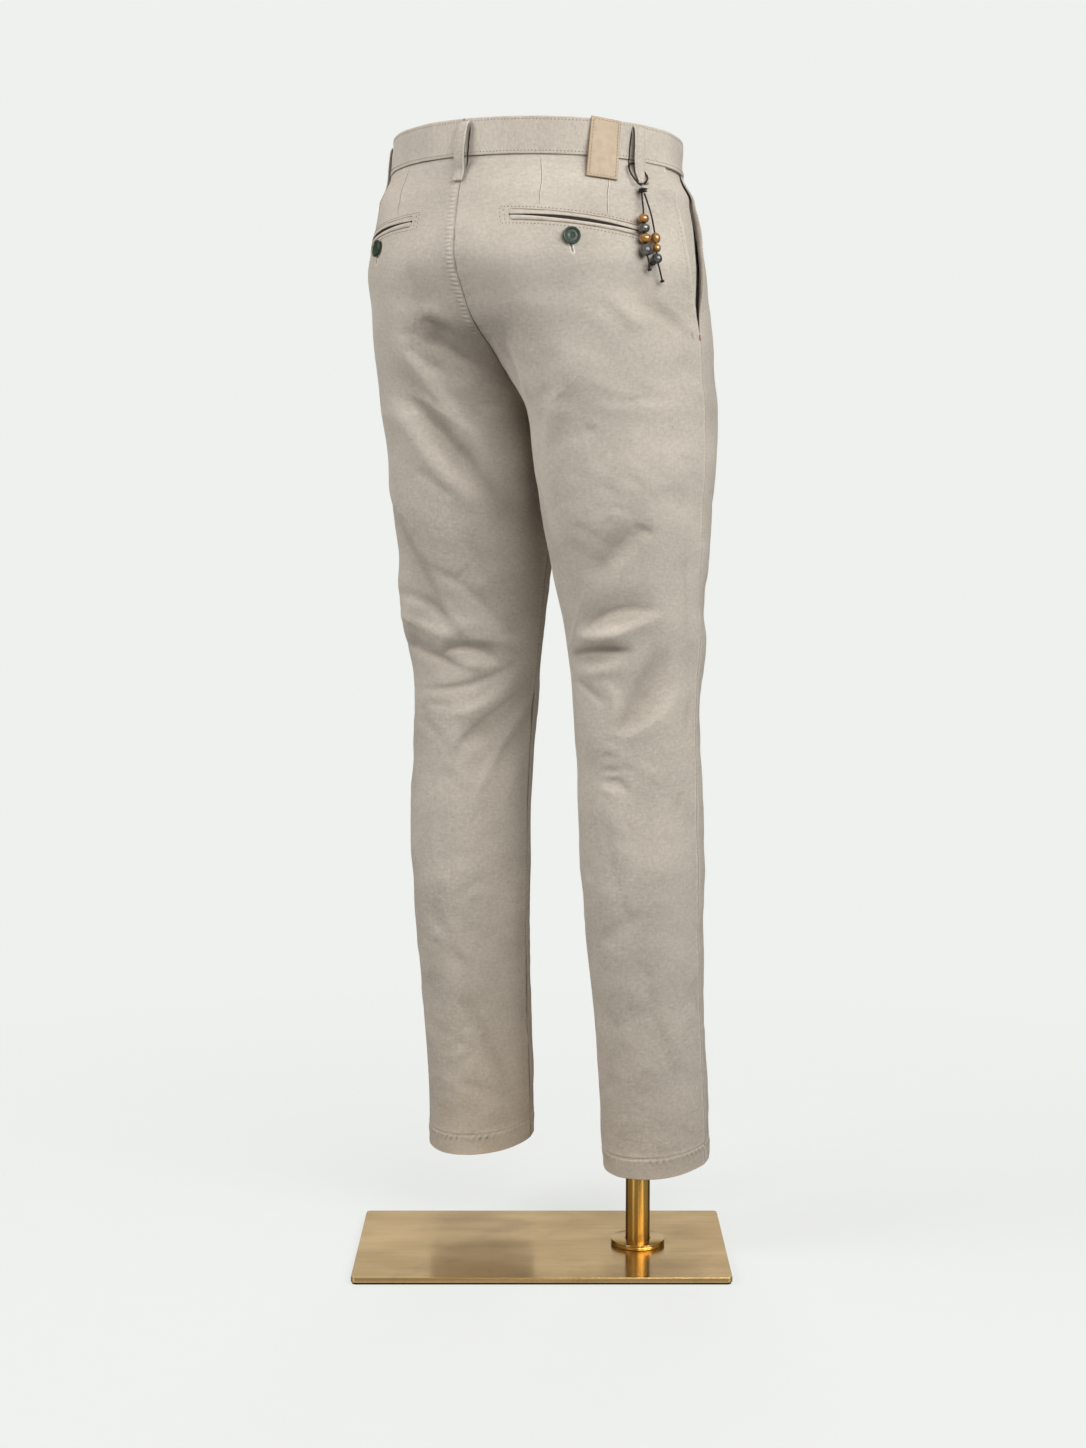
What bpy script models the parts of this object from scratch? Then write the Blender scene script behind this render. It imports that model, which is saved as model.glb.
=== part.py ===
"""Chino trousers, filled out with no wearer, carried by a brass display stand.

Metres, +Z up. The trousers face -Y, so the wearer's right leg is at -X. The origin is the
centre of the stand's underside. The cloth is a set of walls lofted over one form: an oval
for each leg at each height, cut by the mid-plane where the two ovals meet.
"""

import math

import bmesh
import bpy
import numpy as np
from mathutils import Matrix, Vector

MM = 0.001

# ---------------------------------------------------------------- driving dimensions

HEM_Z = 0.078            # lower edge of the legs above the surface
FORK_Z = 0.820           # where the two legs meet
WAIST_SEAM_Z = 1.043     # lower edge of the waistband
WAIST_TOP_Z = 1.077      # upper edge of the waistband
CLOTH = 0.0012           # thickness of a panel
BAND = 0.0022            # thickness of the waistband, two layers
BAND_PROUD = 0.0006      # how far the waistband stands out from the panels
TRIM_CLOTH = 0.0010      # thickness of welts, fly and turn-ups
GAP = 0.0003             # clearance between neighbouring pieces

GARMENT_AT = (0.0308, -0.0427)   # the garment's centre line seen from the stand's centre
STAND_TURN = math.radians(32)    # the plate is turned against the garment

PLATE = (0.360, 0.210, 0.005)
PAD = (0.355, 0.205, 0.0017)
PLATE_CORNER = 0.0045
POST_ALONG = 0.0945      # the post stands towards the wearer's right on the plate
POST_RADIUS = 0.012
COLLAR_RADIUS = 0.0265
COLLAR_HEIGHT = 0.005
HEM_DEPTH = 0.022        # height of the turned-up hem
HOOP_BOTTOM_Z = 1.049
HOOP_HEIGHT = 0.018
HOOP_WALL = 0.0025
BAR_WIDTH = 0.014
BAR_HEIGHT = 0.009

# One row for each section of a leg, in mm. out and inn are the half-widths away from and
# towards the mid-plane, back and front the depths, cx and cy the oval's centre. side is the
# turn of the side seam in degrees, counted from the outermost line towards the back.
SECTION_COLUMNS = ("z", "out", "inn", "back", "front", "cx", "cy", "side")
SECTIONS = (
    (78, 51, 50.5, 60, 56, 100, -40, -7),
    (130, 51.5, 51, 60, 57, 99, -38, -8),
    (220, 52, 52, 62, 60, 98.5, -31, -9),
    (320, 55.5, 56, 66, 63, 98.5, -24, -6),
    (400, 58.5, 59.5, 68, 64, 98.5, -23, -4),
    (480, 58.5, 59, 68, 65, 95.5, -25, -6),
    (540, 61, 60.5, 68, 68, 92.5, -27, -7),
    (600, 67, 66, 74, 73, 92, -28, -6),
    (670, 73, 73, 84, 84, 89, -24, -6),
    (740, 79, 80, 98, 97, 87.5, -22, -5),
    (790, 83, 83, 104, 106, 85.5, -21, -5),
    (820, 87, 84, 106, 111, 84, -17, -4.5),
    (850, 92, 93.5, 110, 115, 78, -12, -4),
    (880, 105, 107, 119, 118, 66, -9, -3),
    (920, 129, 180, 135, 120, 41, -5, 0),
    (960, 156, 180, 145.5, 120, 14, 0, 2.5),
    (990, 160.5, 180, 142, 120, 4, 0, 3),
    (1015, 160, 180, 133, 122, 0, 3, 3),
    (1043, 146, 180, 125.5, 124, 0, 3, 3),
    (1077, 143.5, 180, 125, 125, 0, 2, 3),
)

# Where each foot end stands against the symmetric form, in mm at the hem.
STANCE = {"left": (-12.0, 8.0), "right": (10.0, -6.0)}

INSEAM_FORWARD = 13.0    # degrees that the inseam lies forward of the innermost line
WAIST_SLOPE = 0.06       # the back of the waist is cut higher
HEM_SLOPE = -0.10        # the back of the hem hangs lower

# The largest folds, on the side given: two ends and a bow between them. Turns are in
# degrees, heights, widths and depths in mm; a negative depth is a trough.
FOLD_COLUMNS = ("leg", "turn_a", "z_a", "turn_b", "z_b", "bow", "width", "depth")
FOLDS = (
    # the seat and the back of the left thigh
    ("left", 92, 896, 146, 850, -3, 13, -5.0),
    ("left", 78, 892, 135, 775, -4, 12, 4.0),
    ("left", 84, 862, 130, 764, -3, 11, -3.5),
    ("left", 72, 826, 123, 737, -3, 13, 3.5),
    ("left", 104, 820, 152, 724, -6, 12, -3.5),
    ("left", 56, 728, 112, 600, -6, 16, -2.5),
    # behind the left knee
    ("left", 96, 586, 143, 583, 8, 9, -4.5),
    ("left", 40, 592, 106, 569, 9, 11, -3.5),
    ("left", 92, 606, 150, 604, 6, 11, 3.0),
    ("left", 182, 556, 118, 500, 4, 13, -3.5),
    ("left", 198, 538, 146, 480, 4, 13, -3.0),
    ("left", 24, 650, 58, 606, 0, 38, 5.0),
    # the seat and the back of the right thigh
    ("right", 101, 902, 125, 840, 3, 10, -3.0),
    ("right", 34, 940, 11, 897, 4, 12, -2.5),
    ("right", 150, 800, 152, 752, 0, 22, 3.5),
    ("right", 42, 710, 83, 665, 4, 14, -3.0),
    ("right", 44, 642, 99, 615, 3, 12, -2.5),
    # behind the right knee
    ("right", 130, 585, 64, 593, 5, 10, -4.0),
    ("right", 112, 607, 64, 609, 3, 10, 2.5),
    ("right", 33, 594, 66, 522, -3, 13, -3.0),
    ("right", -48, 650, -30, 610, 0, 34, -3.5),
    # the front of the rise and the front of the knees
    ("left", -48, 880, -104, 838, -8, 15, -4.5),
    ("right", -44, 884, -108, 842, -8, 15, -5.0),
    ("left", -62, 846, -118, 806, -6, 14, -3.5),
    ("right", -58, 850, -120, 800, -6, 14, -3.0),
    ("left", -30, 536, -120, 548, 8, 15, -3.5),
    ("right", -26, 528, -128, 540, 6, 15, -3.5),
    ("right", -60, 500, -130, 508, 5, 13, -2.5),
)

THIGH_RADIUS = 75.0      # mm of arc for each radian of a fold's turn

MOUTH_BOTTOM_Z = 0.889   # where the slanted pocket mouth meets the side seam
MOUTH_TURN = 20.0        # how far forward of the side seam it ends at the waist, in degrees
MOUTH_GAPE = 0.0085      # how far the facing lies behind the open mouth

WELT_TURNS = (72.0, 26.0)
WELT_HEIGHT = 0.0046
BUTTON_TURN = 51.5
BUTTON_Z = 0.9675
BUTTON_RADIUS = 0.00825
BUTTON_DEPTH = 0.0032
BUTTON_OFF = 0.0009      # a button's back stands off the cloth by its thread
WAIST_BUTTON_TURN = -83.0
WAIST_BUTTON_Z = 1.060

LOOP_WIDTH = 0.011
LOOP_CLOTH = 0.0015
LOOP_STAND_OFF = 0.0076
BELT_LOOPS = (
    ("belt_loop_centre_back", "right", 90.0),
    ("belt_loop_back_right", "right", 21.0),
    ("belt_loop_back_left", "left", 21.0),
    ("belt_loop_front_right", "right", -46.0),
    ("belt_loop_front_left", "left", -46.0),
)

PATCH_TURNS = (38.2, 33.8)   # of its middle line, at its lower and upper edge
PATCH_Z = (1.0212, 1.0768)
PATCH_WIDTH = 0.030
PATCH_LEATHER = 0.0016

BACK_COLUMNS = 11        # columns of points across a back panel
FRONT_COLUMNS = 10

FLY_WIDTH = 0.038
FLY_BOTTOM_Z = 0.893
FLY_OFF = 0.0006         # clear of the facets' ridges

# The charm's beads: turn and height of the centre, how far it lies off the cloth, radius
# and half height, in degrees and mm. Gold beads are glass, grey ones hematite.
BEAD_COLUMNS = ("name", "turn", "z", "off", "radius", "half", "look")
BEADS = (
    ("charm_bead_1", 25.6, 987.6, 7.2, 5.5, 4.9, "gold"),
    ("charm_bead_2", 25.8, 977.3, 7.0, 5.6, 4.8, "grey"),
    ("charm_bead_3", 26.4, 967.2, 7.0, 5.6, 4.6, "gold"),
    ("charm_bead_4", 22.0, 970.4, 7.0, 4.6, 5.2, "gold"),
    ("charm_bead_5", 21.6, 961.0, 6.6, 4.1, 3.6, "gold"),
    ("charm_bead_6", 25.9, 956.6, 7.2, 5.5, 5.4, "grey"),
    ("charm_bead_7", 21.6, 952.0, 6.8, 4.9, 4.7, "grey"),
)
BEAD_HOLE = 0.0017
BEAD_STEPS = 12
CHARM_CORD = 0.0008      # radius of the charm's cords


# ---------------------------------------------------------------- the garment's form

SECTION_TABLE = np.array(SECTIONS, float)


def smooth_step(value):
    """0 below 0, 1 above 1, and an even ease between."""
    value = np.clip(value, 0.0, 1.0)
    return value * value * (3 - 2 * value)


def smooth_column(column, z_mm):
    """One column of the section table at the heights z_mm, with no overshoot between rows."""
    at = SECTION_TABLE[:, 0]
    value = SECTION_TABLE[:, SECTION_COLUMNS.index(column)]
    step = np.diff(at)
    slope = np.diff(value) / step
    before, after = slope[:-1], slope[1:]
    same_way = before * after > 0
    total = np.where(same_way, before + after, 1.0)
    tangent = np.zeros(len(at))
    tangent[1:-1] = np.where(same_way, 2 * before * after / total, 0.0)
    tangent[0], tangent[-1] = slope[0], slope[-1]
    z_mm = np.clip(z_mm, at[0], at[-1])
    row = np.clip(np.searchsorted(at, z_mm) - 1, 0, len(step) - 1)
    t = (z_mm - at[row]) / step[row]
    ease = t * t * (3 - 2 * t)
    lead = t * (1 - t) ** 2 * step[row] * tangent[row]
    tail = t * t * (1 - t) * step[row] * tangent[row + 1]
    return value[row] * (1 - ease) + value[row + 1] * ease + lead - tail


def section(leg, z):
    """The oval of a leg at the heights z: a dict of half-widths, depths and centre."""
    oval = {name: smooth_column(name, z / MM) * MM for name in SECTION_COLUMNS[1:-1]}
    share = smooth_step((0.80 - z) / 0.72)
    oval["cx"] = oval["cx"] + STANCE[leg][0] * MM * share
    oval["cy"] = oval["cy"] + STANCE[leg][1] * MM * share
    return oval


def slope(z):
    """How much a line round the body rises towards the back at this height."""
    return WAIST_SLOPE * smooth_step((z - 0.90) / 0.18) + HEM_SLOPE * smooth_step((0.35 - z) / 0.27)


def form_point(leg, turn, z):
    """A point of the smooth form. turn is in radians from the outermost line to the back."""
    oval = section(leg, z)
    wide = np.where(np.cos(turn) > 0, oval["out"], oval["inn"])
    deep = np.where(np.sin(turn) > 0, oval["back"], oval["front"])
    x = oval["cx"] + wide * np.cos(turn)
    y = oval["cy"] + deep * np.sin(turn)
    side = 1.0 if leg == "left" else -1.0
    return np.stack([side * x, y, z + slope(z) * y], -1)


def form_normal(leg, turn, z):
    """The outward normal of the smooth form."""
    step = 1e-4
    around = form_point(leg, turn + step, z) - form_point(leg, turn - step, z)
    upward = form_point(leg, turn, z + step) - form_point(leg, turn, z - step)
    normal = np.cross(around, upward) * (1.0 if leg == "left" else -1.0)
    return normal / np.linalg.norm(normal, axis=-1, keepdims=True)


def fold_depth(leg, turn, z):
    """The sum of the large folds at these points, in metres outwards."""
    total = np.zeros(np.broadcast(turn, z).shape)
    for row in FOLDS:
        fold = dict(zip(FOLD_COLUMNS, row))
        if fold["leg"] != leg:
            continue
        around = THIGH_RADIUS * (turn - math.radians(fold["turn_a"]))
        upward = z / MM - fold["z_a"]
        run_around = THIGH_RADIUS * math.radians(fold["turn_b"] - fold["turn_a"])
        run_upward = fold["z_b"] - fold["z_a"]
        length = math.hypot(run_around, run_upward)
        along = (around * run_around + upward * run_upward) / length**2
        across = (upward * run_around - around * run_upward) / length
        across = across - fold["bow"] * 4 * along * (1 - along)
        reach = smooth_step((along + 0.18) / 0.4) * smooth_step((1.18 - along) / 0.4)
        total += fold["depth"] * MM * reach * np.exp(-((across / fold["width"]) ** 2))
    return total


def cloth_point(leg, turn, z, off=0.0, folds=True):
    """A point of the cloth's outer face moved off it, in the part's frame."""
    turn, z = np.broadcast_arrays(np.asarray(turn, float), np.asarray(z, float))
    place = form_point(leg, turn, z)
    normal = form_normal(leg, turn, z)
    if folds:
        in_plane = normal.copy()
        near = smooth_step(np.abs(place[..., 0]) / 0.045)
        in_plane[..., 0] *= near
        place = place + in_plane * (fold_depth(leg, turn, z) * near)[..., None]
    place = place + normal * np.asarray(off)[..., None]
    place[..., 0] += GARMENT_AT[0]
    place[..., 1] += GARMENT_AT[1]
    return place


def mid_turn(leg, z, back):
    """The turn at which the section reaches the mid-plane, or the inseam below the fork."""
    oval = section(leg, z)
    reach = np.clip((GAP / 2 - oval["cx"]) / oval["inn"], -1.0, 1.0)
    above = np.arccos(reach)
    shift = math.radians(INSEAM_FORWARD) * smooth_step((FORK_Z - z) / 0.07)
    half_gap = np.where(z < FORK_Z, GAP / 2 / oval["front"], 0.0)
    if back:
        return np.where(z < FORK_Z, math.pi + shift - half_gap, above)
    return np.where(z < FORK_Z, shift - math.pi + half_gap, -above)


def side_turn(z):
    """The turn of the side seam at these heights."""
    return np.radians(smooth_column("side", z / MM))


def mouth_turn(z):
    """The turn of the front panel's outer edge: the side seam, or the slanted pocket mouth."""
    climb = np.clip((z - MOUTH_BOTTOM_Z) / (WAIST_SEAM_Z - MOUTH_BOTTOM_Z), 0.0, 1.0)
    return side_turn(z) - math.radians(MOUTH_TURN) * climb ** 0.85


def panel_heights():
    """Heights of a panel's rows: even on the legs, close together at the fork."""
    legs = np.linspace(HEM_Z, 0.790, 20)
    fork = [0.806, FORK_Z, 0.826, 0.836, 0.850, 0.868]
    seat = [MOUTH_BOTTOM_Z, 0.908, 0.929, 0.951, 0.971, 0.989, 1.006, 1.023]
    return np.concatenate([legs, fork, seat, [WAIST_SEAM_Z - GAP / 2]])


def half_gap_turn(leg, turn, z):
    """Half of a seam's clearance as a turn."""
    oval = section(leg, z)
    radius = np.hypot(oval["out"] * np.sin(turn), oval["back"] * np.cos(turn))
    return GAP / 2 / radius


def turn_grid(start, end, columns):
    """Rows of evenly spaced turns between two edges."""
    share = np.linspace(0.0, 1.0, columns)
    return start[:, None] + (end - start)[:, None] * share[None, :]


def back_turns(leg, z):
    """A back panel's columns at the heights z, from the side seam to the inner edge."""
    side = side_turn(z)
    return turn_grid(side + half_gap_turn(leg, side, z), mid_turn(leg, z, True), BACK_COLUMNS)


def front_turns(leg, z):
    """A front panel's columns at the heights z, from the inner edge to the outer edge."""
    edge = mouth_turn(z)
    return turn_grid(mid_turn(leg, z, False), edge - half_gap_turn(leg, edge, z), FRONT_COLUMNS)


def on_panel(leg, turn, z, off):
    """A point off the flat facets of a panel, so that trim keeps its clearance."""
    turn, z, off = np.broadcast_arrays(turn, z, off)
    columns_at = back_turns if turn.mean() > 0 else front_turns
    rows = panel_heights()
    turns = columns_at(leg, rows)
    points = cloth_point(leg, turns, rows[:, None])
    lifted = cloth_point(leg, turns, rows[:, None], 1.0)
    place = np.empty((*turn.shape, 3))
    for index in np.ndindex(turn.shape):
        row = int(np.clip(np.searchsorted(rows, z[index]) - 1, 0, len(rows) - 2))
        share = (z[index] - rows[row]) / (rows[row + 1] - rows[row])
        found = []
        for r in (row, row + 1):
            at = [np.interp(turn[index], turns[r], points[r, :, axis]) for axis in range(3)]
            up = [np.interp(turn[index], turns[r], lifted[r, :, axis]) for axis in range(3)]
            found.append((np.array(at), np.array(up)))
        base = found[0][0] * (1 - share) + found[1][0] * share
        tip = found[0][1] * (1 - share) + found[1][1] * share
        place[index] = base + (tip - base) / np.linalg.norm(tip - base) * off[index]
    return place


def trim_point(leg, turn, z, off):
    """A point off the panels up to the waist seam, and off the waistband above it."""
    if z <= WAIST_SEAM_Z:
        return on_panel(leg, turn, z, off)
    return cloth_point(leg, turn, z, off)


# ---------------------------------------------------------------- making objects


def clear_scene():
    for obj in list(bpy.data.objects):
        bpy.data.objects.remove(obj, do_unlink=True)


def new_collection(name):
    collection = bpy.data.collections.new(name)
    bpy.context.scene.collection.children.link(collection)
    return collection


def new_material(name, colour, roughness, metallic=0.0):
    material = bpy.data.materials.new(name)
    material.use_nodes = True
    shader = material.node_tree.nodes["Principled BSDF"]
    shader.inputs["Base Color"].default_value = (*colour, 1.0)
    shader.inputs["Roughness"].default_value = roughness
    shader.inputs["Metallic"].default_value = metallic
    return material


clear_scene()
PARTS = new_collection("chino_trousers_on_stand")
TWILL = new_material("twill", (0.56, 0.50, 0.43), 0.85)
LEATHER = new_material("leather", (0.62, 0.45, 0.30), 0.6)
BUTTON_GREEN = new_material("button_green", (0.05, 0.10, 0.08), 0.35)
GOLD = new_material("bead_gold", (0.62, 0.38, 0.10), 0.3, 0.6)
GREY = new_material("bead_grey", (0.18, 0.19, 0.20), 0.3, 0.7)
CORD_DARK = new_material("charm_cord", (0.03, 0.025, 0.02), 0.7)
BRASS = new_material("brass", (0.66, 0.48, 0.22), 0.3, 1.0)
RUBBER = new_material("rubber", (0.04, 0.035, 0.03), 0.8)


def add_mesh_object(name, bm, material, smooth=True):
    """A new object from a bmesh, in the part's collection."""
    mesh = bpy.data.meshes.new(name)
    bm.to_mesh(mesh)
    bm.free()
    mesh.materials.append(material)
    if smooth:
        mesh.shade_smooth()
        mesh.set_sharp_from_angle(angle=math.radians(40))
    obj = bpy.data.objects.new(name, mesh)
    PARTS.objects.link(obj)
    return obj


def add_wall(name, outer, inner, material, closed=False):
    """A wall lofted between two grids of points, open or closed round its columns."""
    rows, columns = outer.shape[:2]
    bm = bmesh.new()
    faces = [[[bm.verts.new(point) for point in row] for row in grid] for grid in (outer, inner)]
    last = columns if closed else columns - 1
    for r in range(rows - 1):
        for c in range(last):
            d = (c + 1) % columns
            for grid, turned in ((faces[0], False), (faces[1], True)):
                corners = [grid[r][c], grid[r][d], grid[r + 1][d], grid[r + 1][c]]
                bm.faces.new(corners[::-1] if turned else corners)
    for c in range(last):
        d = (c + 1) % columns
        bm.faces.new([faces[0][0][d], faces[0][0][c], faces[1][0][c], faces[1][0][d]])
        bm.faces.new([faces[0][-1][c], faces[0][-1][d], faces[1][-1][d], faces[1][-1][c]])
    if not closed:
        for r in range(rows - 1):
            bm.faces.new([faces[0][r][0], faces[0][r + 1][0], faces[1][r + 1][0], faces[1][r][0]])
            bm.faces.new([faces[0][r + 1][-1], faces[0][r][-1], faces[1][r][-1], faces[1][r + 1][-1]])
    bmesh.ops.recalc_face_normals(bm, faces=bm.faces)
    return add_mesh_object(name, bm, material)


def add_turned(name, profile, steps, material, place):
    """A turned solid: a (radius, height) profile down its outer side, closed or on the axis."""
    bm = bmesh.new()
    ring = [bm.verts.new((r, 0.0, h)) for r, h in profile]
    ends = [] if profile[0][0] == 0.0 else ring[:1]
    for a, b in zip(ring, ring[1:] + ends):
        bm.edges.new((a, b))
    solid = add_mesh_object(name, bm, material)
    turned = solid.modifiers.new("Turned", "SCREW")
    turned.steps = steps
    turned.render_steps = steps
    turned.use_merge_vertices = True
    turned.merge_threshold = 1e-5
    solid.matrix_world = place
    return solid


def wall_on_form(name, leg, turns, heights, off, thickness):
    """A twill wall that follows the cloth: its outer face lies off the form by off."""
    outer = cloth_point(leg, turns, heights, off)
    inner = cloth_point(leg, turns, heights, np.asarray(off) - thickness)
    return add_wall(name, outer, inner, TWILL)


def wall_on_panel(name, leg, turns, heights, off, thickness):
    """A twill wall that lies on a panel's facets, its outer face off them by off."""
    outer = on_panel(leg, turns, heights, off)
    inner = on_panel(leg, turns, heights, off - thickness)
    return add_wall(name, outer, inner, TWILL)


# ---------------------------------------------------------------- cloth


def make_panels(leg):
    z = panel_heights()
    for part, turns in (("back", back_turns(leg, z)), ("front", front_turns(leg, z))):
        wall_on_form(f"{part}_panel_{leg}", leg, turns, z[:, None], 0.0, CLOTH)


def facing_depth(turn, z):
    """How far the pocket facing's outer face lies behind the cloth's."""
    flush = CLOTH + 0.0010
    behind_seam = smooth_step((side_turn(z) - turn) / math.radians(9.0))
    ends = smooth_step((z - MOUTH_BOTTOM_Z) / 0.03) * smooth_step((WAIST_SEAM_Z - z) / 0.022)
    return flush + (MOUTH_GAPE - flush) * behind_seam * ends


def make_pocket_facing(leg):
    z = panel_heights()
    z = z[z > 0.86]
    start = side_turn(z) + math.radians(4.0)
    end = mouth_turn(z) - math.radians(14.0)
    turns = turn_grid(end, start, 9)
    depth = facing_depth(turns, z[:, None])
    wall_on_form(f"pocket_facing_{leg}", leg, turns, z[:, None], -depth, TRIM_CLOTH)


def make_waistband(leg):
    z = np.array([WAIST_SEAM_Z + GAP / 2, 1.060, WAIST_TOP_Z])
    start = mid_turn(leg, z, False)
    turns = turn_grid(start, mid_turn(leg, z, True), 25)
    wall_on_form(f"waistband_{leg}", leg, turns, z[:, None], BAND_PROUD, BAND)


def make_hem(leg):
    """The turned-up allowance inside the leg's lower edge, open at the side seam."""
    z = np.array([HEM_Z, HEM_Z + HEM_DEPTH])
    faces = []
    for off in (-CLOTH - GAP, -CLOTH - GAP - TRIM_CLOTH):
        back = on_panel(leg, back_turns(leg, z), z[:, None], off)
        front = on_panel(leg, front_turns(leg, z)[:, 1:], z[:, None], off)
        faces.append(np.concatenate([back, front], 1))
    add_wall(f"hem_turn_up_{leg}", *faces, TWILL)


def make_belt_loop(name, leg, degrees):
    """A strip that stands off the waistband, sewn down below it and at its top edge."""
    turn = math.radians(degrees)
    profile = (
        (1.0228, 0.0020),
        (1.0270, 0.0021),
        (1.0315, 0.0042),
        (1.0370, LOOP_STAND_OFF),
        (1.0520, LOOP_STAND_OFF + 0.0010),
        (1.0660, LOOP_STAND_OFF + 0.0004),
        (1.0730, 0.0060),
        (1.0766, 0.0025),
    )
    centre = np.array([trim_point(leg, turn, z, off) for z, off in profile])
    normal = form_normal(leg, np.array(turn), np.array(1.05))
    normal[2] = 0.0
    normal /= np.linalg.norm(normal)
    across = np.cross([0.0, 0.0, 1.0], normal) * LOOP_WIDTH / 2
    along = np.gradient(centre, axis=0)
    facing = np.cross(across / np.linalg.norm(across), along)
    facing /= np.linalg.norm(facing, axis=1, keepdims=True)
    facing *= np.sign((facing * normal).sum(1, keepdims=True) + 1e-9)
    outer = np.stack([centre - across, centre + across], 1)
    inner = outer - facing[:, None, :] * LOOP_CLOTH
    add_wall(name, outer, inner, TWILL)


def strip_turns(leg, middle, z, width, columns):
    """Turns of a strip of constant width about a middle line."""
    oval = section(leg, z)
    radius = np.hypot(oval["out"] * np.sin(middle), oval["back"] * np.cos(middle))
    share = np.linspace(-0.5, 0.5, columns)
    return middle[:, None] + (width / radius)[:, None] * share[None, :]


def make_patch():
    z = np.linspace(*PATCH_Z, 5)
    middle = np.radians(np.linspace(*PATCH_TURNS, 5))
    turns = strip_turns("right", middle, z, PATCH_WIDTH, 6)
    off = BAND_PROUD + GAP + PATCH_LEATHER
    faces = []
    for level in (off, off - PATCH_LEATHER):
        faces.append(np.array([trim_point("right", t, h, level) for t, h in zip(turns, z)]))
    add_wall("leather_patch", *faces, LEATHER)


def welt_line(turn):
    """Height of the back pocket's slit at a turn: level, then dropping towards the side."""
    share = (math.radians(WELT_TURNS[0]) - turn) / math.radians(WELT_TURNS[0] - WELT_TURNS[1])
    return 0.9892 - 0.002 * share - 0.0075 * share**2


def make_welts(leg):
    start, end = np.radians(WELT_TURNS[::-1])
    columns = back_turns(leg, np.array([welt_line(start)]))[0]
    between = columns[(columns > start + 0.02) & (columns < end - 0.02)]
    turns = np.concatenate([[start], between, [end]])
    slit = welt_line(turns)
    lips = {"upper": (0.0003, WELT_HEIGHT), "lower": (-WELT_HEIGHT, -0.0003)}
    for lip, (low, high) in lips.items():
        heights = np.stack([slit + low, slit + high])
        both = np.stack([turns, turns])
        off = GAP + 0.0001 + TRIM_CLOTH
        wall_on_panel(f"back_welt_{lip}_{leg}", leg, both, heights, off, TRIM_CLOTH)


def make_fly():
    """The overlapping fly on the left front, rounded where it meets the rise."""
    z = np.array([FLY_BOTTOM_Z, 0.898, 0.908, 0.925, 0.950, 0.980, 1.010, WAIST_SEAM_Z - GAP])
    start = mid_turn("left", z, False)
    rounding = np.clip((z - FLY_BOTTOM_Z) / 0.045, 0.02, 1.0)
    width = FLY_WIDTH * np.sqrt(1 - (1 - rounding) ** 2)
    oval = section("left", z)
    turns = turn_grid(start, start + width / oval["out"], 5)
    wall_on_panel("fly_front_left", "left", turns, z[:, None], FLY_OFF + TRIM_CLOTH, TRIM_CLOTH)


def make_button(name, leg, turn, z, off):
    """A turned button with a rim and a dished face, lying on the cloth."""
    shares = (
        (0.0, 0.45),
        (0.20, 0.50),
        (0.34, 0.62),
        (0.52, 0.52),
        (0.66, 0.56),
        (0.80, 0.94),
        (0.90, 1.00),
        (0.98, 0.86),
        (1.0, 0.52),
        (0.90, 0.08),
        (0.62, 0.0),
        (0.0, 0.0),
    )
    profile = [(r * BUTTON_RADIUS, h * BUTTON_DEPTH) for r, h in shares]
    normal = Vector(form_normal(leg, np.array(turn), np.array(z)))
    facing = normal.to_track_quat("Z", "Y").to_matrix().to_4x4()
    place = Matrix.Translation(trim_point(leg, turn, z, off)) @ facing
    add_turned(name, profile, 24, BUTTON_GREEN, place)


# ---------------------------------------------------------------- charm


def charm_place(turn, z_mm, off_mm):
    """A point of the charm from its turn and height on the right hip and its distance off."""
    return Vector(cloth_point("right", math.radians(turn), z_mm * MM, off_mm * MM, folds=False))


# The cords' own points: turn in degrees, height and distance off the cloth in mm. The
# hanger goes from the knot round the belt loop and back, and the other two carry the beads.
CORD_ROUTES = {
    "charm_hanger": (
        (23.4, 1017.1, 5.6),
        (25.8, 1020.6, 4.3),
        (27.4, 1026.5, 3.4),
        (26.6, 1033.0, 3.1),
        (24.0, 1036.8, 3.0),
        (21.0, 1037.8, 3.0),
        (18.2, 1035.6, 3.1),
        (17.4, 1030.0, 3.8),
        (19.0, 1023.4, 5.0),
        (21.8, 1018.0, 5.7),
    ),
    "charm_cord_a": (
        (24.0, 1011.6, 5.9),
        (24.3, 1004.0, 6.6),
        (24.9, 996.0, 7.1),
        (25.6, 987.6, 7.2),
        (25.8, 977.3, 7.0),
        (26.4, 967.2, 7.0),
        (25.9, 956.6, 7.2),
        (25.5, 949.6, 6.9),
        (25.3, 943.0, 4.8),
    ),
    "charm_cord_b": (
        (22.9, 1011.6, 5.9),
        (22.4, 1002.0, 6.8),
        (22.1, 990.0, 7.2),
        (22.1, 980.0, 7.2),
        (22.0, 970.4, 7.0),
        (21.6, 961.0, 6.6),
        (21.6, 952.0, 6.8),
        (21.3, 945.4, 6.4),
        (20.6, 936.0, 4.4),
    ),
}
CHARM_KNOT = (23.4, 1014.4, 5.8)     # its centre
CHARM_KNOT_SIZE = (0.0072, 0.0056, 0.0044)


def smooth_route(points, steps):
    """A Catmull-Rom curve through the points."""
    padded = [2 * points[0] - points[1], *points, 2 * points[-1] - points[-2]]
    route = []
    for a, b, c, d in zip(padded, padded[1:], padded[2:], padded[3:]):
        for i in range(steps):
            t = i / steps
            route.append(
                0.5 * (2 * b + (c - a) * t + (2 * a - 5 * b + 4 * c - d) * t**2
                       + (3 * b - a - 3 * c + d) * t**3)
            )
    route.append(points[-1])
    return route


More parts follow.
